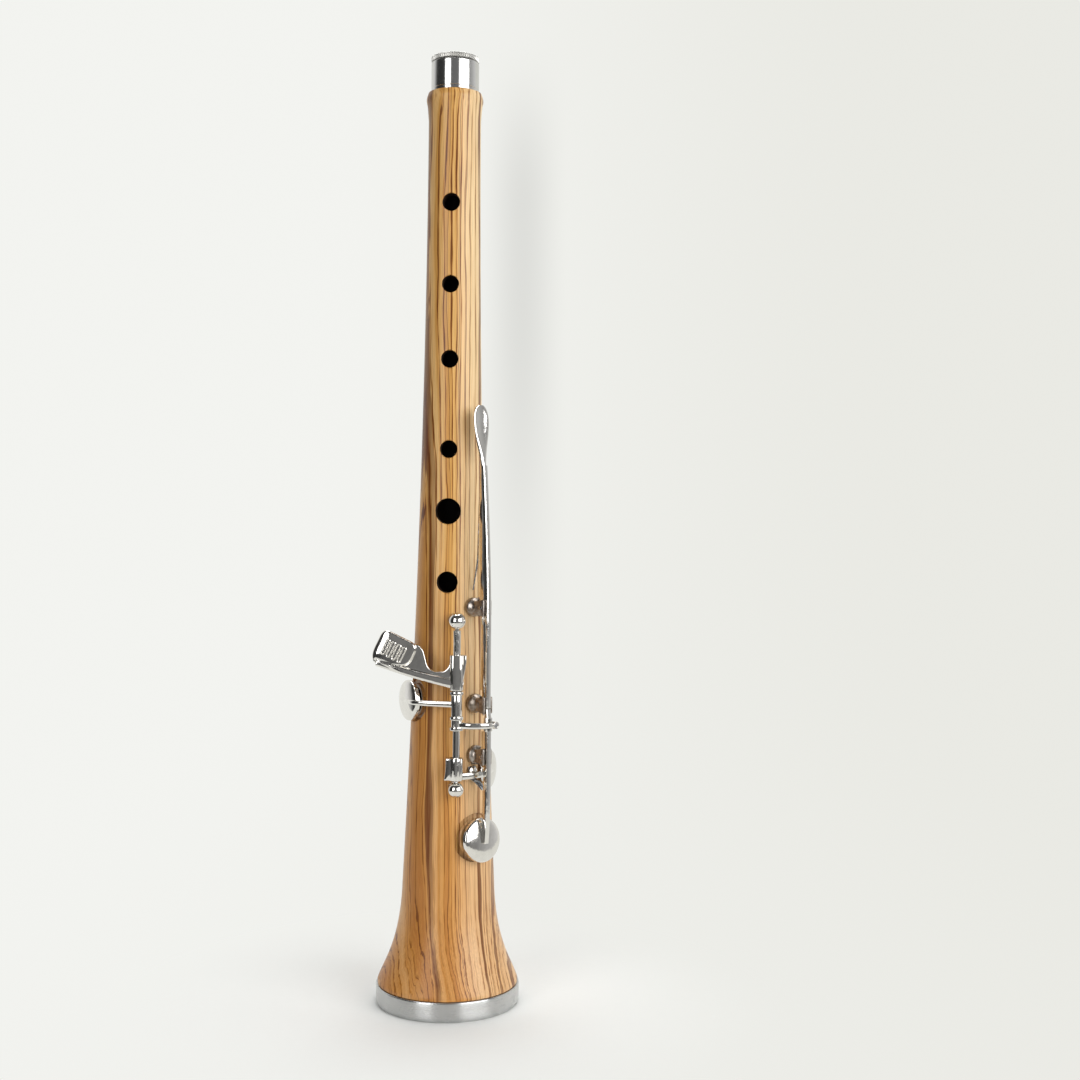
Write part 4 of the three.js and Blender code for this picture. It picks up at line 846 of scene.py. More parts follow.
# %% Sleeve, knurled ring and staple tube
def head_sleeve():
    foot = shoulder + gap
    top, outer = foot + sleeve_height, head_diameter / 2
    inner = outer - sleeve_wall
    lip, under = inner - 0.8, top - 1.6
    beads = [(outer, foot + 0.1), (outer, foot + 0.9), (outer - 0.14, foot + 1.05),
             (outer - 0.14, foot + 1.2), (outer, foot + 1.35)]
    outline = [(inner, foot), (outer - 0.1, foot)] + beads
    outline += [tuple(p) for p in bend([(outer, top - 0.45), (outer, top), (outer - 0.45, top)], 4)]
    outline += [(lip, top), (lip, under), (inner, under)]
    return lathe(outline, 128)


def knurled_ring(teeth=72, depth=0.42, steps=4):
    """A turned ring whose rim swings in and out once for every tooth."""
    foot, outer, hole = length - knurled_height, head_diameter / 2, knurled_bore / 2
    spigot = outer - sleeve_wall - 0.8 - gap
    outline = [(hole, foot - spigot_length), (spigot, foot - spigot_length), (spigot, foot),
               (outer - depth - 0.15, foot), (outer - 0.05, foot + 0.2), (outer, foot + 0.3),
               (outer, length - 0.4), (outer - 0.1, length - 0.2), (outer - depth - 0.3, length),
               (hole + 0.4, length), (hole, length - 0.4)]
    form = lathe(outline, teeth * steps)
    cut_depths = [0.0, 0.5 * depth, depth, 0.5 * depth]
    for corner in form.corners:
        reach = math.hypot(corner.x, corner.y)
        if reach > outer - depth and corner.z > foot:
            turn = math.atan2(corner.y, corner.x) * teeth * steps / (2 * math.pi)
            share = cut_depths[round(turn) % steps]
            corner.xy = corner.xy * ((reach - share) / reach)
    return form


def staple_tube():
    outer, top = liner_diameter / 2, tenon_top()
    inner, foot = outer - liner_wall, tenon_top() - liner_length
    return lathe(softened([(inner, foot), (outer, foot), (outer, top), (inner, top)], 0.2), 64)


piece_from("head_sleeve", head_sleeve(), "body", "top_ferrule", sleeve_finish)
piece_from("staple_tube", staple_tube(), "body", "socket_liner", brass_finish)

piece_from("knurled_head_ring", knurled_ring(), "tuning_ring", "tuning_ring", knurl_finish,
           20)

# %% [markdown]
# ## Posts and pivots
# Two ball-headed posts carry the hinge rod between pointed screws. A post is turned in one
# piece: peg, collar, waisted neck and ball. Each ball is drilled through for its screw, whose
# slotted head shows on the far side. A sphere set on a cylinder would leave hidden faces
# inside, so each post is spun from one outline. Hole and slot are cut by boolean, because they
# are too fine for a remesh.

# %% Ball posts and pivot screws
upper_post, lower_post = 138.0, 79.1
upper_ball, lower_ball = 5.8, 5.5
screw_across = 1.4


def ball_post(height, across):
    skin = body_radius(height - 2.4) + gap
    ball, neck, collar = across / 2, 1.3, 2.4
    start = math.asin(neck / ball)
    outline = [(0, skin - peg_depth), (peg_radius, skin - peg_depth), (peg_radius, skin),
               (collar, skin - 0.25)]
    outline += [tuple(p) for p in bend([(collar, skin + 0.3), (collar, skin + 0.75),
                                        (neck + 0.35, skin + 0.8), (neck, skin + 1.3)], 8)]
    for i in range(33):
        turn = start + (math.pi - start) * i / 32
        outline.append((ball * math.sin(turn), hinge_radius - ball * math.cos(turn)))
    post = lathe(outline[:-1] + [(0, hinge_radius + ball)], 64).at(seat_frame(hinge_angle, height))
    drill = rod(screw_across / 2 + 0.05, -ball - 3, ball + 3, 32)
    return cut(post, drill.at(Matrix.Translation((hinge.x, hinge.y, height))))


def pivot_screw(height, across, direction):
    """Pointed screw with a slotted end; direction says which way its point looks."""
    r, ball = screw_across / 2, across / 2
    dome = [tuple(p) for p in bend([(0, -ball + 0.04), (r * 0.7, -ball + 0.05), (r, -ball + 0.2)], 4)]
    screw = lathe(dome + [(r, ball), (0, ball + gap + 1)], 32)
    slot = slab(rounded_oblong(2.4, 0.26, 0.02, 1), 0.5, 0)
    turn = Matrix.Rotation(math.pi, 4, "X") if direction < 0 else Matrix()
    placed = Matrix.Translation((hinge.x, hinge.y, height)) @ turn
    return cut(screw.at(placed), slot.at(placed @ Matrix.Translation((0, 0, -ball + 0.1))))


settled("upper_ball", ball_post(upper_post, upper_ball), "body", "upper_ball_post",
        plate_finish)
settled("lower_ball", ball_post(lower_post, lower_ball), "body", "lower_ball_post",
        plate_finish)
settled("upper_point_screw", pivot_screw(upper_post, upper_ball, -1), "body",
        "upper_pivot_screw", screw_finish)
settled("lower_point_screw", pivot_screw(lower_post, lower_ball, 1), "body",
        "lower_pivot_screw", screw_finish)

# %% Hinge rod and cross pins
rod_across, barrel_across = 2.6, 4.7
touch_foot, touch_run = 113.9, 12.3
arm_foot, arm_run = 82.5, 7.8


def hinge_rod():
    foot = lower_post + lower_ball / 2 + gap
    top = upper_post - upper_ball / 2 - gap
    r, mouth = rod_across / 2, screw_across / 2 + gap
    outline = [(0, foot + 1.6), (mouth, foot), (r - 0.1, foot), (r, foot + 0.1),
               (r, top - 0.1), (r - 0.1, top), (mouth, top), (0, top - 1.6)]
    return lathe(outline, 48).at(hinge_line)


def cross_pin(height):
    pin = rod(0.45, -barrel_across / 2 - 0.05, rod_across / 2 + gap, 24, 0.1)
    return pin.at(Matrix.Translation((hinge.x, hinge.y, 0)) @ seat_frame(hinge_angle, height))


piece_from("hinge_rod", hinge_rod(), "little_finger_key", "key_rod", plate_finish)
piece_from("touch_cross_pin", cross_pin(touch_foot + touch_run * 0.72), "little_finger_key",
           "touch_pin", screw_finish)
piece_from("arm_cross_pin", cross_pin(arm_foot + arm_run * 0.7), "little_finger_key",
           "arm_pin", screw_finish)

# %% [markdown]
# ## Cups and pads
# A cup is a shallow domed dish that holds its pad. A flattened sphere would have no rim for the
# pad to sit in, so the cup is spun from one outline with a wall of its own. Its rim is found
# from the wood: the pad closes on the raised seat, so the closed rim stands one gap and the
# pad's proud edge over it. Open keys are the same cups turned back about their own hinge.

# %% Cup and pad forms
def closed_rim(cup):
    rim = body_radius(cup["height"]) - seat_drop + gap + pad_proud
    return seat_frame(cup["angle"], cup["height"]) @ Matrix.Translation((0, 0, rim))


def turned_about(matrix, pivot, degrees):
    """The matrix turned by so many degrees about Z through a pivot."""
    shift = Matrix.Translation(pivot)
    return shift @ Matrix.Rotation(math.radians(degrees), 4, "Z") @ shift.inverted() @ matrix


def cup_form(across):
    r, well = across / 2, pad_thickness - pad_proud + gap
    outline = [(0, well), (r - cup_wall, well), (r - cup_wall, 0.1), (r - cup_wall + 0.1, 0),
               (r - 0.12, 0), (r, 0.12), (r, cup_height / 2)]
    for i in range(1, 17):
        turn = math.pi / 2 * i / 16
        rise = (cup_height / 2 + cup_dome) * math.sin(turn) ** 0.8
        outline.append((r * math.cos(turn) if i < 16 else 0, cup_height / 2 + rise))
    return lathe(outline, 96)


def pad_form(across, hole, puckers=34):
    """Leather over felt: a crowned edge with puckers, and the ring pressed by the seat."""
    r, top = across / 2 - cup_wall - 0.12, pad_thickness - pad_proud
    seat, sides = hole / 2 + 0.45, 136
    outline = [(0, top), (r - 0.2, top), (r, top - 0.25), (r, 0.0)]
    outline += bend([(r, 0.0), (r, -pad_proud * 0.95), (r - 0.8, -pad_proud)], 8)[1:]
    outline += [(seat + 0.7, -pad_proud), (seat + 0.35, -pad_proud + 0.05), (seat, -pad_proud + 0.12),
                (seat - 0.35, -pad_proud + 0.05), (seat - 0.7, -pad_proud), (0, -pad_proud)]
    form = lathe([tuple(p)[:2] for p in outline], sides)
    for corner in form.corners:
        reach = math.hypot(corner.x, corner.y)
        if corner.z < 0.3 and reach > r - 1.2:
            turn = math.atan2(corner.y, corner.x)
            share = min(max((reach - r + 1.2) / 1.2, 0), 1)
            fold = 0.5 + 0.5 * math.sin(turn * puckers + 0.7 * math.sin(3 * turn))
            corner.z += 0.07 * share * fold
            corner.xy = corner.xy * (1 - 0.008 * share * fold)
    return form


vent_open, low_open = 6.4, 5.9
low_pivot_height, low_pivot_rise = 90.3, 5.7
low_pivot_radius = body_radius(low_pivot_height) + low_pivot_rise
side_rim = closed_rim(cups["side"])
vent_rim = turned_about(closed_rim(cups["vent"]), hinge, vent_open)
low_pivot = Vector((low_pivot_radius, low_pivot_height, 0))
low_rim = lever_plane @ turned_about(lever_plane.inverted() @ closed_rim(cups["low"]),
                                     low_pivot, low_open)


def leather_pad(name, cup, rim, body, node):
    form = pad_form(cups[cup]["across"], cups[cup]["hole"]).at(rim)
    pad = piece_from(name, form, body, node, leather_finish, 60)
    return pad


leather_pad("side_leather_pad", "side", side_rim, "little_finger_key", "side_pad")
leather_pad("vent_leather_pad", "vent", vent_rim, "vent_key", "vent_pad")
leather_pad("low_leather_pad", "low", low_rim, "low_lever", "low_pad")

# %% [markdown]
# ## Little-finger touch
# The touch is a casting: a ribbed plate stands out over the left of the body, its lower edge is
# folded forward as a lip that runs down to the barrel, and a round valley for the finger is cut
# between plate and barrel. Plate, web and lip are drawn as separate forms and forged into one
# skin, so that they flow into each other, and the plate is then crowned by lowering its free
# end and its long edges. Barrel and ribs keep crisp edges, so they are a piece of their own.

# %% Plate and ribs
plate_reach, plate_height, plate_tilt = 22.0, 127.5, -26.0
plate_width, plate_depth, plate_thick, plate_rise = 13.6, 11.0, 2.1, 0.75
rib_count, rib_width, rib_slot, rib_rise = 4, 1.75, 0.7, 0.6
plate_shares = [(0.5, 0.5), (-0.5, 0.5), (-0.5, -0.4), (-0.33, -0.69), (0.52, -0.24)]


def on_plate(across, up):
    spot = Vector((plate_width * across, plate_depth * up, 0))
    turned = Matrix.Rotation(math.radians(plate_tilt), 4, "Z") @ spot
    return turned + Vector((hinge.x - plate_reach, plate_height, 0))


def rounded_corners(corners, radius, steps=8):
    outline = []
    for i, corner in enumerate(corners):
        ends = []
        for near in (corners[i - 1], corners[(i + 1) % len(corners)]):
            share = min(radius / (near - corner).length, 0.45)
            ends.append(corner.lerp(near, share))
        outline += bend([ends[0], corner, ends[1]], steps)
    return outline


def touch_plate():
    turn = Matrix.Rotation(math.radians(plate_tilt), 4, "Z")
    here = Matrix.Translation((hinge.x - plate_reach, plate_height, plate_rise)) @ turn
    corners = [Vector((plate_width * x, plate_depth * y)) for x, y in plate_shares]
    return slab(rounded_corners(corners, 3.0), plate_thick, 0.7).at(here)


def touch_ribs():
    """Four raised loops, each an oblong with a groove down its middle."""
    turn = Matrix.Rotation(math.radians(plate_tilt), 4, "Z")
    here = front @ Matrix.Translation((hinge.x - plate_reach, plate_height, plate_rise)) @ turn
    pitch, run = plate_width * 0.62 / rib_count, plate_depth * 0.56
    outer = rounded_oblong(rib_width, run, 0.87)
    inner = rounded_oblong(rib_slot, run - rib_width + rib_slot, rib_slot / 2)
    loop, ribs = loop_of(list(zip(outer, inner)), rib_rise), Form([], [])
    for i in range(rib_count):
        across = (i - (rib_count - 1) / 2) * pitch
        ribs += loop.at(here @ Matrix.Translation((across, 0, plate_thick / 2 - 0.1)))
    return ribs


def loop_of(ring, rise):
    """A half-round band between an outer and an inner outline."""
    section = [(0.5 - 0.5 * math.cos(math.pi * i / 6), rise * math.sin(math.pi * i / 6))
               for i in range(7)]
    corners, faces, count = [], [], len(ring)
    for share, height in section:
        corners += [Vector((*outer.lerp(inner, share), height)) for outer, inner in ring]
    for row in range(len(section)):
        for j in range(count):
            k, next_row = (j + 1) % count, (row + 1) % len(section)
            faces.append((row * count + j, row * count + k, next_row * count + k,
                          next_row * count + j))
    return Form(corners, faces)


print("faces of the ribs:", len(touch_ribs().faces))

# %% Web, lip and barrel
def touch_web():
    start, root = on_plate(-0.25, -0.6), on_plate(0.1, 0.4)
    shares = [(0.609, 1.27), (0.541, 1.13), (0.5, 0.9), (0.464, 0.68), (0.39, 0.55),
              (0.295, 0.52), (0.2, 0.545), (0.135, 0.66), (0.105, 0.84), (0.09, 1.0)]
    edge = [Vector((hinge.x - plate_reach * left, touch_foot + touch_run * up, 0))
            for left, up in shares]
    outline = [start, root] + flowing(edge, 36)
    outline += [Vector((hinge.x, touch_foot + touch_run, 0)), Vector((hinge.x, touch_foot + 1.5, 0))]
    return slab([p.xy for p in outline], 1.6, 0.3)


def touch_lip():
    start = on_plate(-0.27, -0.6) + Vector((0, 0, 1.1))
    end = Vector((hinge.x + barrel_across / 2, touch_foot + 1.5, 0.7))
    sag = (start + end) / 2 + Vector((0, -0.7, 0.2))
    line = bend([start, sag, end], 4)
    return bar(line, 40, (0, 0, 1), lambda t: (2.5, 2.3 + 1.1 * t), 24)


def touch_barrel():
    top = touch_foot + touch_run
    form = slab(rounded_oblong(barrel_across, barrel_across, 1.4), touch_run, 0.25)
    barrel = form.at(Matrix.Translation((hinge.x, hinge.y, touch_foot + touch_run / 2)))
    r = barrel_across / 2
    fin = slab([(0, top), (3.4, top), (3.4, top - 2.3), (r, top - 9.4), (0, top - 9.4)], r, 0.3)
    return barrel + fin.at(front @ Matrix.Translation((hinge.x, 0, 0)))


print("faces of the barrel:", len(touch_barrel().faces))

# %% Little-finger touch
def crowned(spot, end_drop=1.1, side_drop=0.45):
    """How far a place on the touch sinks: the free end and the long edges fall away."""
    away = Vector((spot.x - hinge.x + plate_reach, spot.z - plate_height, 0))
    flat = Matrix.Rotation(math.radians(-plate_tilt), 4, "Z") @ away
    across, up = flat.x / (plate_width / 2), flat.y / (plate_depth / 2)
    free = min(max((0.9 - across) / 0.8, 0), 1)
    return end_drop * min(max(-across, 0), 1.1) ** 4 + side_drop * free * min(abs(up), 1.1) ** 4


touch = forged((touch_plate() + touch_web() + touch_lip()).at(front), 0.13, 5)
for vertex in touch.vertices:
    vertex.co.y += crowned(vertex.co / MM) * MM
settled("ribbed_touch", touch, "little_finger_key", "little_finger_touch", plate_finish,
        70)
ribs = touch_ribs()
for corner in ribs.corners:
    corner.y += crowned(corner)
piece_from("touch_barrel", touch_barrel() + ribs, "little_finger_key", "little_finger_touch",
           plate_finish, 40)

# %% [markdown]
# ## Arms and cups of the two hinged keys
# An arm is a bar with well-rounded edges. It leaves its barrel, bends round the wood and runs
# out over the back of its cup, where it is soldered. It is swept along a smooth curve and
# tapers. Its clean faces carry the long bright reflections that a remesh would break up.

# %% Side cup arm
def cup_back(rim, aside=0.0):
    return rim @ Vector((aside, 0, cup_height + cup_dome / 2))


def side_arm():
    height = arm_foot + 1.1
    mid = out_at((hinge_angle + cups["side"]["angle"]) / 2) * (body_radius(height) + 2.7)
    edge = cup_back(side_rim, -cups["side"]["across"] * 0.45)
    line = [Vector((hinge.x, hinge.y, height)), Vector((mid.x, mid.y, height)),
            Vector((edge.x, edge.y, cups["side"]["height"])), cup_back(side_rim)]
    arm = bar(line, 40, UP, lambda t: (2.75 - t, 1.54 - 0.42 * t))
    r = barrel_across / 2
    side = bend([(-r - 1.26, arm_run), (-r - 0.9, arm_run / 2), (-r - 1.8, 0)], 10)
    leaf = slab([(r, 0), (r, arm_run)] + side, barrel_across * 0.7, 0.5)
    form = leaf.at(front @ Matrix.Translation((hinge.x, arm_foot, 0)))
    form += rod(r, arm_foot, arm_foot + arm_run, 48, 0.25).at(hinge_line)
    return form + arm + cup_form(cups["side"]["across"]).at(side_rim)


piece_from("side_cup_and_arm", side_arm(), "little_finger_key", "side_cup_arm", plate_finish,
           40)

# %% Vent key
sleeve_foot, sleeve_run = 99.9, 13.6
block_rise, link_offset, low_crown_rise = 11.4, 2.7, 8.3
low_crown = body_radius(low_pivot_height) + low_crown_rise
link_height, link_angle = low_pivot_height + block_rise, lever_angle + link_offset
boss_foot = low_crown + 2 * gap


def vent_sleeve():
    form = rod(1.95, sleeve_foot, sleeve_foot + sleeve_run, 48, 0.1)
    for share in (0, 0.3, 1):
        foot = sleeve_foot + share * (sleeve_run - 1.3)
        form += rod(2.4, foot, foot + 1.3, 48, 0.3)
    return form.at(hinge_line)


def vent_arm():
    height, across = cups["vent"]["height"], cups["vent"]["across"]
    mid = out_at((hinge_angle + cups["vent"]["angle"]) / 2) * (body_radius(height) + 4.2)
    line = [Vector((hinge.x, hinge.y, height)), Vector((mid.x, mid.y, height))]
    line += [cup_back(vent_rim, across * s) for s in (0.47, 0, -0.22)]
    return bar(line, 56, UP, lambda t: (2.34 - 1.08 * t, 1.65 - 0.45 * t))


def link_arm():
    reach = boss_foot + 0.9
    run = link_angle - hinge_angle
    places = ((0.36, (hinge_radius + 2 * reach) / 3), (0.7, reach), (1, reach))
    line = [Vector((hinge.x, hinge.y, link_height))]
    line += [out_at(hinge_angle + run * s) * r + UP * link_height for s, r in places]
    return bar(line, 40, UP, lambda t: (2.53 - 0.69 * t, 1.5))


def link_boss():
    seat = seat_frame(link_angle, link_height)
    outline = softened([(0.75, boss_foot), (1.3, boss_foot), (1.3, boss_foot + 2),
                        (0.75, boss_foot + 2)], 0.15)
    return lathe(outline, 40).at(seat)


def link_screw():
    tip = (low_crown + 1.2 * gap) / math.cos(math.radians(link_offset))
    top = tip + gap + 2
    form = rod(0.65, tip, top, 32, 0.12)
    slot = slab(rounded_oblong(2.4, 0.3, 0.02, 1), 0.8, 0)
    seat = seat_frame(link_angle, link_height)
    return cut(form.at(seat), slot.at(seat @ Matrix.Translation((0, 0, top))))


arm_and_cup = vent_arm() + cup_form(cups["vent"]["across"]).at(vent_rim)
vent_form = vent_sleeve() + arm_and_cup + link_arm() + link_boss()
piece_from("vent_key_work", vent_form, "vent_key", "vent_key", plate_finish, 40)
settled("link_regulating_screw", link_screw(), "vent_key", "link_screw", screw_finish)

# %% [markdown]
# ## The two levers
# Both levers are flat bars on edge that rock in forked posts. Seen from the front only their
# edge shows, a long bright line, so its rounding matters more than anything else here. A swept
# bar could not follow the lugs and notches. So the outline is drawn in the lever plane, as
# radius against height, and then given its thickness and a rounded edge. The spoon at the top
# of the long one is a swept bar that widens and is dished.

# %% Lever outlines
long_pivot_height, long_pivot_rise, long_crown_rise = 142.4, 6.9, 9.9
long_pivot_radius = body_radius(long_pivot_height) + long_pivot_rise
long_crown = body_radius(long_pivot_height) + long_crown_rise
belly_depth, long_waist_depth, low_waist_depth = 5.6, 4.5, 4.6
lever_thick, bar_depth, fork_width = 1.8, 2.0, 6.0
touch_height, touch_length, touch_thick = long_pivot_height + 66, 21.3, 1.7
touch_radius = body_radius(touch_height) + 6.3
root_height = touch_height - touch_length * 0.745
root_radius = touch_radius + (long_crown - touch_radius) * 0.45
foot_height = long_pivot_height - 35
clear = fork_width / 2 + 2 * gap
tongue = long_crown - bar_depth * 0.7
tongue_inner = tongue - bar_depth * 0.8


def long_outline():
    turn = long_pivot_height - 35 / 3
    run = root_height - turn
    waist_radius = root_radius + (long_crown - root_radius) * 0.48
    belly, slim, tail = [long_crown - d for d in (belly_depth, long_waist_depth, 3.7)]
    lug_foot = long_pivot_height - 28.8
    outer = bend([(long_crown, turn), (long_crown, turn + run * 0.4),
                  (waist_radius, turn + run * 0.72), (root_radius, root_height)], 48)
    inner = bend([(root_radius - bar_depth, root_height),
                  (belly, (long_pivot_height + root_height) / 2),
                  (belly, long_pivot_height + clear + bar_depth / 2)], 30)
    notch = [(belly, long_pivot_height + clear), (slim, long_pivot_height + clear)]
    under = bend([(slim, long_pivot_height), (tail, long_pivot_height),
                  (tail, long_pivot_height - fork_width)], 10)
    lug = bend([(tail, lug_foot + 8), (tail, lug_foot + 4), (long_crown - 4.2, lug_foot + 2)], 8)
    end = [(long_crown - 4.2, lug_foot), (tongue_inner, lug_foot),
           (tongue_inner, foot_height - 2.6), (tongue, foot_height - 2.6),
           (tongue, foot_height)]
    return [tuple(p) for p in [(long_crown, foot_height)] + outer + inner + notch + under
            + lug + end]


def widening(t, widest=0.76):
    swell = math.sin(math.pi / 2 * min(t / widest, 1)) ** 2
    past = max(t - widest, 0) / (1 - widest)
    return swell * math.sqrt(max(1 - past * past, 0.02))


def spoon():
    line = [(root_radius - bar_depth / 2, root_height - touch_thick, 0)]
    for out, up in ((0.1, -0.25), (-0.1, 0), (-0.45, 0.25)):
        line.append((touch_radius + touch_thick * out, touch_height + touch_length * up, 0))
    return bar(line, 64, (0, 0, 1), lambda t: (lever_thick + 4.8 * widening(t),
                                               touch_thick * (1 - 0.35 * t), 0.5 * widening(t)), 40)


long_form = slab(long_outline(), lever_thick, 0.32) + spoon()
piece_from("long_rocking_lever", long_form.at(lever_plane), "long_lever", "long_lever",
           plate_finish, 40)

# %% Low lever
block_depth, block_height, block_width = 1.5, 4.9, 3.0


def low_outline():
    back = lever_plane.inverted() @ cup_back(low_rim)
    turn = low_pivot_height - fork_width
    fall = turn - back.y
    outer = bend([(low_crown, turn), (low_crown, turn - fall * 0.35),
                  (back.x + bar_depth * 1.1, turn - fall * 0.75),
                  (back.x + bar_depth * 0.7, back.y - bar_depth / 2)], 24)
    under = [Vector((p.x - bar_depth, p.y)) for p in outer]
    tip_top, block = low_pivot_height + 16.8, block_height / 2
    tip_foot = tongue + gap
    web, slim, inner = [low_crown - d for d in (3.2, low_waist_depth, block_depth)]
    outline = [(tip_foot, tip_top), (tip_foot, link_height + block), (inner, link_height + block),
               (inner, link_height - block), (web, link_height - block),
               (web, low_pivot_height + clear), (slim, low_pivot_height + clear / 2),
               (slim, low_pivot_height - clear / 2)]
    outline += under + list(reversed(outer))
    outline += [(low_crown, link_height + block), (low_crown - bar_depth / 4, tip_top)]
    return [tuple(p)[:2] for p in outline]


low_bar = slab(low_outline(), lever_thick, 0.3)
low_block = slab(rounded_oblong(block_depth, block_height, 0.3, 3), block_width, 0.25)
low_bar += low_block.at(Matrix.Translation((low_crown - block_depth / 2, link_height, 0)))
low_form = low_bar.at(lever_plane) + cup_form(cups["low"]["across"]).at(low_rim)
piece_from("low_rocking_lever", low_form, "low_lever", "low_lever", plate_finish,
           40)

# %% [markdown]
# ## Forked posts
# Each lever rocks in a fork: a turned bell-shaped foot and neck whose head has been filed into
# a fishtail and sawn down the middle. Two thin ears leave a slot that is one gap wider than the
# bar on each side. A pin through the ears is the pivot; the middle fork only guides. The slot
# could be cut by boolean. Here foot, web and ears are closed forms that overlap, which keeps
# the slot's width exact and its edges crisp.

# %% Forked posts and pins
fork_base, fork_neck, ear_thick, head_rise = 6.8, 4.4, 0.7, 1.8
guide_height = 108.4


def forked_post(height, head_top, web_radius):
    skin = body_radius(height - fork_base / 2) + gap
    floor = web_radius - 2 * gap
    rise, base, neck = floor - skin, fork_base / 2, fork_neck / 2
    shape = bend([(base, skin + 0.9), (base * 0.97, skin + 0.9 + rise * 0.2),
                  (neck * 1.1, skin + 0.9 + rise * 0.3), (neck, skin + 0.9 + rise * 0.6)], 14)
    outline = [(0, skin - peg_depth), (peg_radius, skin - peg_depth), (peg_radius, skin),
               (base - 0.2, skin - 0.3), (base, skin)]
    outline += [tuple(p) for p in shape] + [(neck, floor), (0, floor)]
    half, slot = fork_width / 2, lever_thick + 2 * gap
    foot = floor - rise * 0.35
    side = bend([(neck, foot), (neck, floor), (half, head_top - 0.8)], 10)
    side += bend([(half, head_top - 0.8), (half, head_top), (half - 0.8, head_top)], 5)[1:]
    head = [tuple(p) for p in side] + [(-p.x, p.y) for p in reversed(side)]
    across = frame_of(Vector((0, 1, 0)), Vector((0, 0, 1)), Vector((1, 0, 0)), Vector())
    ears = Form([], [])
    for hand in (-1, 1):
        ear = slab(head, ear_thick, 0.2)
        ears += ear.at(across @ Matrix.Translation((0, 0, hand * (slot + ear_thick) / 2)))
    block_head = [(x, min(y, floor)) for x, y in head]
    block = slab([p for i, p in enumerate(block_head) if i == 0 or p != block_head[i - 1]],
                 slot + 0.3, 0)
    form = lathe(outline, 64) + ears + block.at(across)
    return form.at(seat_frame(lever_angle, height))


def lever_pin(radius, height):
    reach = lever_thick / 2 + gap + ear_thick
    return rod(0.75, -reach - 0.03, reach + 0.03, 32, 0.12).at(
        lever_plane @ Matrix.Translation((radius, height, 0)))


forks = {
    "upper_fork": ("long_lever_post", long_pivot_height, long_pivot_radius + head_rise,
                   long_crown - long_waist_depth),
    "guide_fork": ("guide_post", guide_height, long_crown - gap, tongue_inner),
    "lower_fork": ("low_lever_post", low_pivot_height, low_pivot_radius + head_rise,
                   low_crown - low_waist_depth),
}
for name, (node, height, head_top, web_radius) in forks.items():
    piece_from(name, forked_post(height, head_top, web_radius), "body", node, post_finish,
               40)
piece_from("upper_fork_pin", lever_pin(long_pivot_radius, long_pivot_height), "body",
           "long_lever_pin", screw_finish)
piece_from("lower_fork_pin", lever_pin(low_pivot_radius, low_pivot_height), "body",
           "low_lever_pin", screw_finish)

# %% [markdown]
# ## Springs
# Leaf springs are thin strips of blued-grey steel, and the spoon lever's is narrow as a needle.
# Three are fixed to their key and rest on the wood. The low lever's is held on the wood by a
# stud and presses on the lever. Bones could bend a strip; here each strip is made in place,
# rides on no moving body and does not bend.

# %% Springs and stud
spring_thick, spring_width, needle_width, narrow = 0.4, 1.8, 0.8, 0.6


def strip(points, axis, width):
    return bar(points, 24, axis, lambda t: (width * (1 - (1 - narrow) * t), spring_thick), 12)


def side_spring(root_angle, tip_angle, height, root_radius):
    tip = body_radius(height) + gap + spring_thick / 2
    middle = (root_radius + tip) / 2 - 0.45
    places = ((root_angle, root_radius), ((root_angle + tip_angle) / 2, middle), (tip_angle, tip))
    return [out_at(a) * r + UP * height for a, r in places]


def sprung(name, points, axis, width, node):
    """A spring drawn from its root on the key to its tip on the wood."""
    piece = piece_from(name, strip(points, axis, width), None, node, spring_finish,
                       60)
    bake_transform(piece)


touch_line = side_spring(0, -26, 116.6, -hinge.y - 1.25 - gap - spring_thick / 2)
sprung("touch_leaf_spring", touch_line, UP, spring_width, "touch_spring")
vent_line = side_spring(0, -21, cups["vent"]["height"], hinge_radius - 1.5 - 3 * gap - spring_thick)
sprung("vent_leaf_spring", vent_line, UP, spring_width, "vent_spring")
print("side springs made")

# %% Lever springs
def nearest(curve, height):
    return min(curve, key=lambda p: abs(p[1] - height))[0]


def long_spring_line():
    belly = long_crown - belly_depth
    inner = bend([(root_radius - bar_depth, root_height),
                  (belly, (long_pivot_height + root_height) / 2),
                  (belly, long_pivot_height + clear + bar_depth / 2)], 60)
    root, tip = long_pivot_height + 29.6, long_pivot_height + 6.1
    high = nearest(inner, root) - gap - spring_thick
    low = body_radius(tip) + gap + spring_thick
    line = [(high, root, 0), ((high + low) / 2 + 0.9, (root + tip) / 2, 0), (low, tip, 0)]
    return [lever_plane @ Vector(p) for p in line]


stud_height, stud_angle, low_spring_width = 84.6, 38.0, 3.2


def low_spring_line():
    skin = body_radius(stud_height) + gap + spring_thick
    outer = low_outline()[8:33]
    tip = stud_height - 6
    end = out_at(lever_angle) * (nearest(outer, tip) - gap - spring_thick) + UP * tip
    start = out_at(stud_angle) * skin
    middle = start.lerp(end, 0.4)
    return [start + UP * (stud_height + 1.8), start + UP * (stud_height - 2.2),
            Vector((middle.x, middle.y, stud_height - 3.3)), end]


sprung("long_leaf_spring", long_spring_line(), -round_at(lever_angle), needle_width,
       "long_lever_spring")
low_line = low_spring_line()
low_strip = strip(low_line, round_at(stud_angle), low_spring_width)
stud_seat = seat_frame(stud_angle, stud_height)
low_eye = rod(1.2, 0, body_radius(stud_height) + 3, 24).at(stud_seat)
low_spring = settled("low_leaf_spring", cut(low_strip, low_eye), None, "low_lever_spring",
                     spring_finish, 60)
(low_line[0].lerp(low_line[1], 1.0)) * MM
low_line[-1] * MM
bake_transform(low_spring)


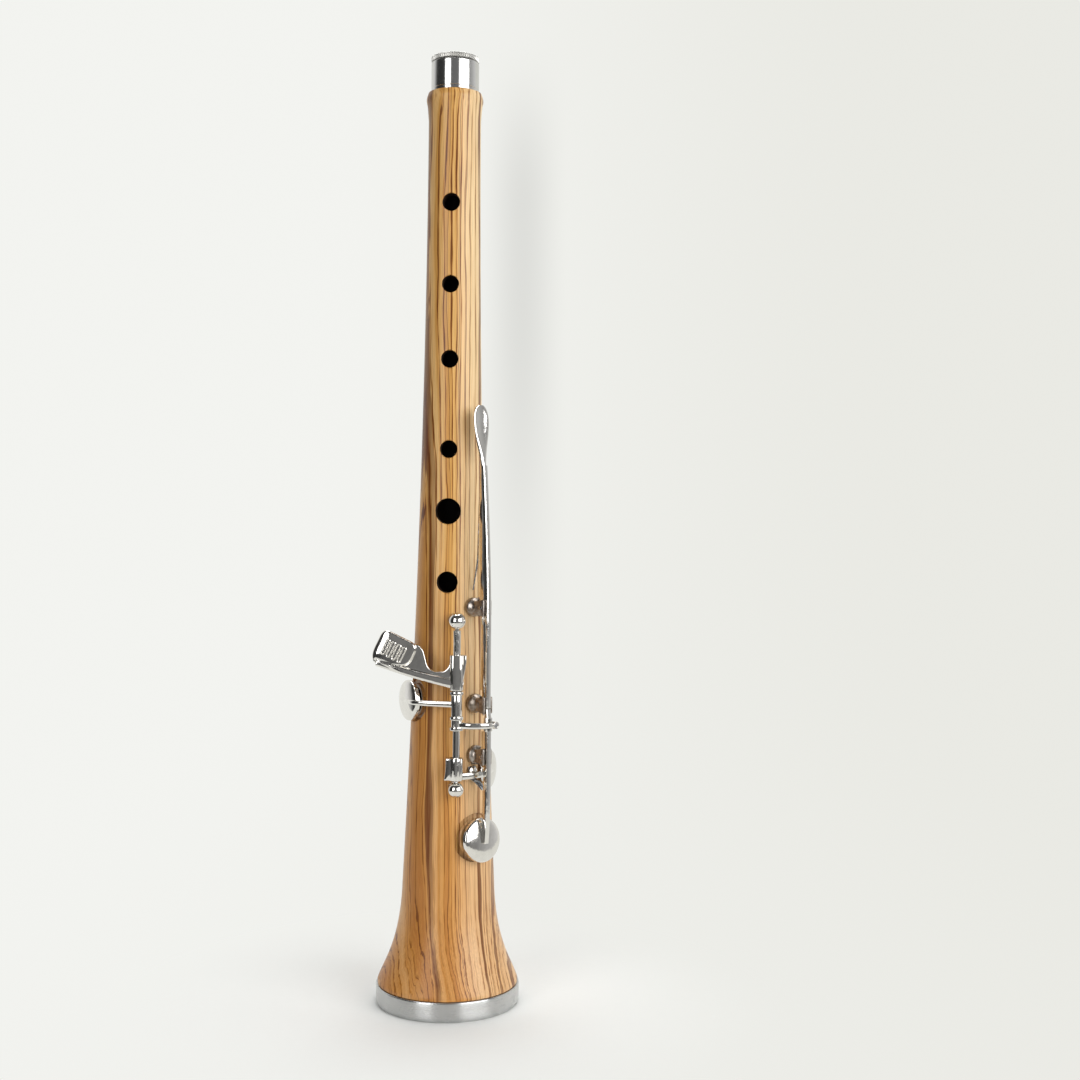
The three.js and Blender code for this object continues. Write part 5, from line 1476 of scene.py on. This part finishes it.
def domed_stud():
    skin, peg, head, dome, edge = body_radius(stud_height) + gap, 0.6, 1.8, 0.55, 0.1
    under = skin + 1.5 * spring_thick + gap
    outline = [(0, skin - peg_depth), (peg, skin - peg_depth), (peg, under),
               (head - edge, under), (head, under + edge)]
    for i in range(1, 13):
        turn = math.pi / 2 * i / 12
        outline.append((head * math.cos(turn) if i < 12 else 0,
                        under + edge + dome * math.sin(turn)))
    return lathe(outline, 48).at(stud_seat)


piece_from("domed_stud", domed_stud(), "body", "spring_stud", plate_finish)

# %% [markdown]
# ## Floor, light and camera
# The instrument stands on white paper before a white wall. Polished keys show whatever is
# round them, so the room matters as much as the lamps: a dim room in front, a narrow window on
# the left, a broad one on the right, a skylight and white behind. The paper turns slowly into a
# plain pale tone away from the instrument, so that no edge shows, and keeps its shadow close by.
# A faint upright band in that tone stands for the shadow that the body casts on the wall.

# %% Paper
def white_paper():
    f = material("white paper")
    place = f.place()
    fibre = f.cloud(place, 0.4, 2.0)
    paper = f.node("ShaderNodeBsdfPrincipled", {}, {
        "Base Color": f.mixed(fibre, (0.77, 0.775, 0.755), (0.79, 0.795, 0.775)),
        "Roughness": 0.9})
    x = f.node("ShaderNodeSeparateXYZ", {}, {0: place}, out="X")
    y = f.node("ShaderNodeSeparateXYZ", {}, {0: place}, out="Y")
    z = f.node("ShaderNodeSeparateXYZ", {}, {0: place}, out="Z")
    # Painted light: the plain tone is brighter and cooler on the left and dimmer and warmer on the
    # right, as light falls off across the wall.
    pale = f.mixed(f.step(x, -260.0, 330.0), (0.895, 0.9, 0.87), (0.82, 0.82, 0.775))
    eye_y, eye_slope, band_shift, band_half = -530.0, 0.0689, 61.3, 46.0
    aside = abs(x + (y - eye_y) * eye_slope - band_shift)
    shadow = (1 - f.step(aside, 0.0, band_half)) * f.step(z, -60.0, 380.0)
    shadow = shadow * (1 - f.step(z, 470.0, 640.0))
    tone = f.mixed(shadow * 0.16, pale, (0.0, 0.0, 0.0))
    plain = f.node("ShaderNodeEmission", {}, {"Color": tone, "Strength": 1.0})
    reach = f.node("ShaderNodeVectorMath", {"operation": "LENGTH"}, {0: place}, out="Value")
    rays = [f.node("ShaderNodeLightPath", out=way)
            for way in ("Is Camera Ray", "Is Glossy Ray", "Is Transmission Ray")]
    seen = f.node("ShaderNodeMath", {"operation": "MAXIMUM"}, {0: rays[0], 1: rays[1]})
    seen = f.node("ShaderNodeMath", {"operation": "MAXIMUM"}, {0: seen, 1: rays[2]})
    share = f.step(reach, 26.0, 120.0) * seen
    both = f.node("ShaderNodeMixShader", {}, {0: share, 1: paper, 2: plain})
    return f.ended(both, "ShaderNodeOutputMaterial")


def sweep():
    near, depth, rise, bend_radius = 0.3, 0.9, 1.6, 0.5
    profile = [(-near, 0.0), (0.0, 0.0), (near, 0.0)]
    for i in range(17):
        turn = math.pi / 2 * i / 16
        profile.append((depth - bend_radius + bend_radius * math.sin(turn),
                        bend_radius - bend_radius * math.cos(turn)))
    profile.append((depth, rise))
    corners = [Vector((side * (near + 1.3 * max(y, 0)), y, z)) for y, z in profile
               for side in (-1, 1)]
    faces = [(2 * i, 2 * i + 1, 2 * i + 3, 2 * i + 2) for i in range(len(profile) - 1)]
    mesh = bpy.data.meshes.new("sweep")
    mesh.from_pydata(corners, [], faces)
    mesh.shade_smooth()
    mesh.materials.append(white_paper())
    backdrop = bpy.data.objects.new("sweep", mesh)
    bpy.context.scene.collection.objects.link(backdrop)
    print("the paper has", len(faces), "faces")


sweep()

# %% Room
camera_azimuth = 6.6


def room():
    world = bpy.data.worlds.new("plain room")
    bpy.context.scene.world = world
    f = Finish(world)
    way = f.node("ShaderNodeTexCoord", out="Generated")
    turned = f.node("ShaderNodeVectorRotate", {"rotation_type": "Z_AXIS"},
                    {"Vector": way, "Angle": math.radians(-camera_azimuth)})
    x, y, z = [f.node("ShaderNodeSeparateXYZ", {}, {0: turned}, out=k) for k in range(3)]
    azimuth = f.node("ShaderNodeMath", {"operation": "ARCTAN2"}, {0: x, 1: y * -1})
    share = azimuth / (2 * math.pi) + 0.5
    sectors = [(-180, 0.9), (-122, 0.85), (-108, 0.3), (-100, 0.04), (-30, 0.04), (-12, 0.2),
               (18, 0.2), (30, 0.12), (66, 0.25), (84, 0.5), (112, 0.8), (180, 0.9)]
    brightest = 2.0
    stops = [(a / 360 + 0.5, v / brightest) for a, v in sectors]
    walls = f.node("ShaderNodeValToRGB", {"stops": stops}, {0: share})
    height = f.step(z, 0.5, 0.9)
    light = f.mixed(height, walls, (0.05, 0.05, 0.05))
    path = f.node("ShaderNodeLightPath", out="Is Camera Ray")
    lit = f.node("ShaderNodeBackground", {}, {"Color": light, "Strength": brightest})
    plain = f.node("ShaderNodeBackground", {}, {"Color": (0.86, 0.86, 0.85, 1), "Strength": 1.0})
    both = f.node("ShaderNodeMixShader", {}, {0: path, 1: lit, 2: plain})
    f.ended(both, "ShaderNodeOutputWorld")
    print("the room has", len(sectors), "tones round the horizon")


room()

# %% Lamps and camera
def soft_lamp(name, azimuth, elevation, distance, width, height, radiance):
    """A flat lamp that faces the middle of the body; azimuth is counted from the camera."""
    lamp = bpy.data.lights.new(name, "AREA")
    lamp.shape, lamp.size, lamp.size_y = "RECTANGLE", width, height
    lamp.energy = radiance * math.pi * width * height
    holder = bpy.data.objects.new(name, lamp)
    bpy.context.scene.collection.objects.link(holder)
    aim = Vector((0, 0, length / 2 * MM))
    flat, rise = math.cos(math.radians(elevation)), math.sin(math.radians(elevation))
    way = out_at(azimuth + camera_azimuth) * flat + UP * rise
    holder.location = aim + way * distance
    holder.rotation_euler = way.to_track_quat("Z", "Y").to_euler()
    print(name, "gives", round(lamp.energy, 1), "W")


soft_lamp("window", -36, 15, 1.2, 0.5, 0.85, 4.6)
soft_lamp("broad window", 44, 15, 1.2, 1.0, 0.85, 4.7)
soft_lamp("skylight", 180, 72, 1.5, 1.2, 1.0, 4.3)

focal_pixels, frame_pixels, sensor = 1475.0, 1080.0, 36.0
eye_level, eye_row, axis_column, camera_distance = 177.7, 508.0, 451.6, 533.8
lean = math.degrees(math.atan(0.00864))
camera_data = bpy.data.cameras.new("camera")
camera_data.sensor_width = sensor
camera_data.lens = focal_pixels / frame_pixels * sensor
camera_data.clip_start = 0.02
camera_data.shift_y = (eye_row - frame_pixels / 2) / frame_pixels
camera = bpy.data.objects.new("camera", camera_data)
bpy.context.scene.collection.objects.link(camera)
bpy.context.scene.camera = camera
pan = math.degrees(math.atan((frame_pixels / 2 - axis_column) / focal_pixels))
spot = out_at(camera_azimuth) * camera_distance + UP * eye_level
camera.location = spot * MM
heading = Matrix.Rotation(math.radians(-pan), 4, "Z") @ out_at(camera_azimuth)
level = heading.to_track_quat("Z", "Y").to_matrix().to_4x4()
camera.rotation_euler = (level @ Matrix.Rotation(math.radians(lean), 4, "Z")).to_euler()
bpy.context.scene.view_settings.view_transform = "Standard"
print("lens in mm:", round(camera_data.lens, 1), "pan:", round(pan, 2))
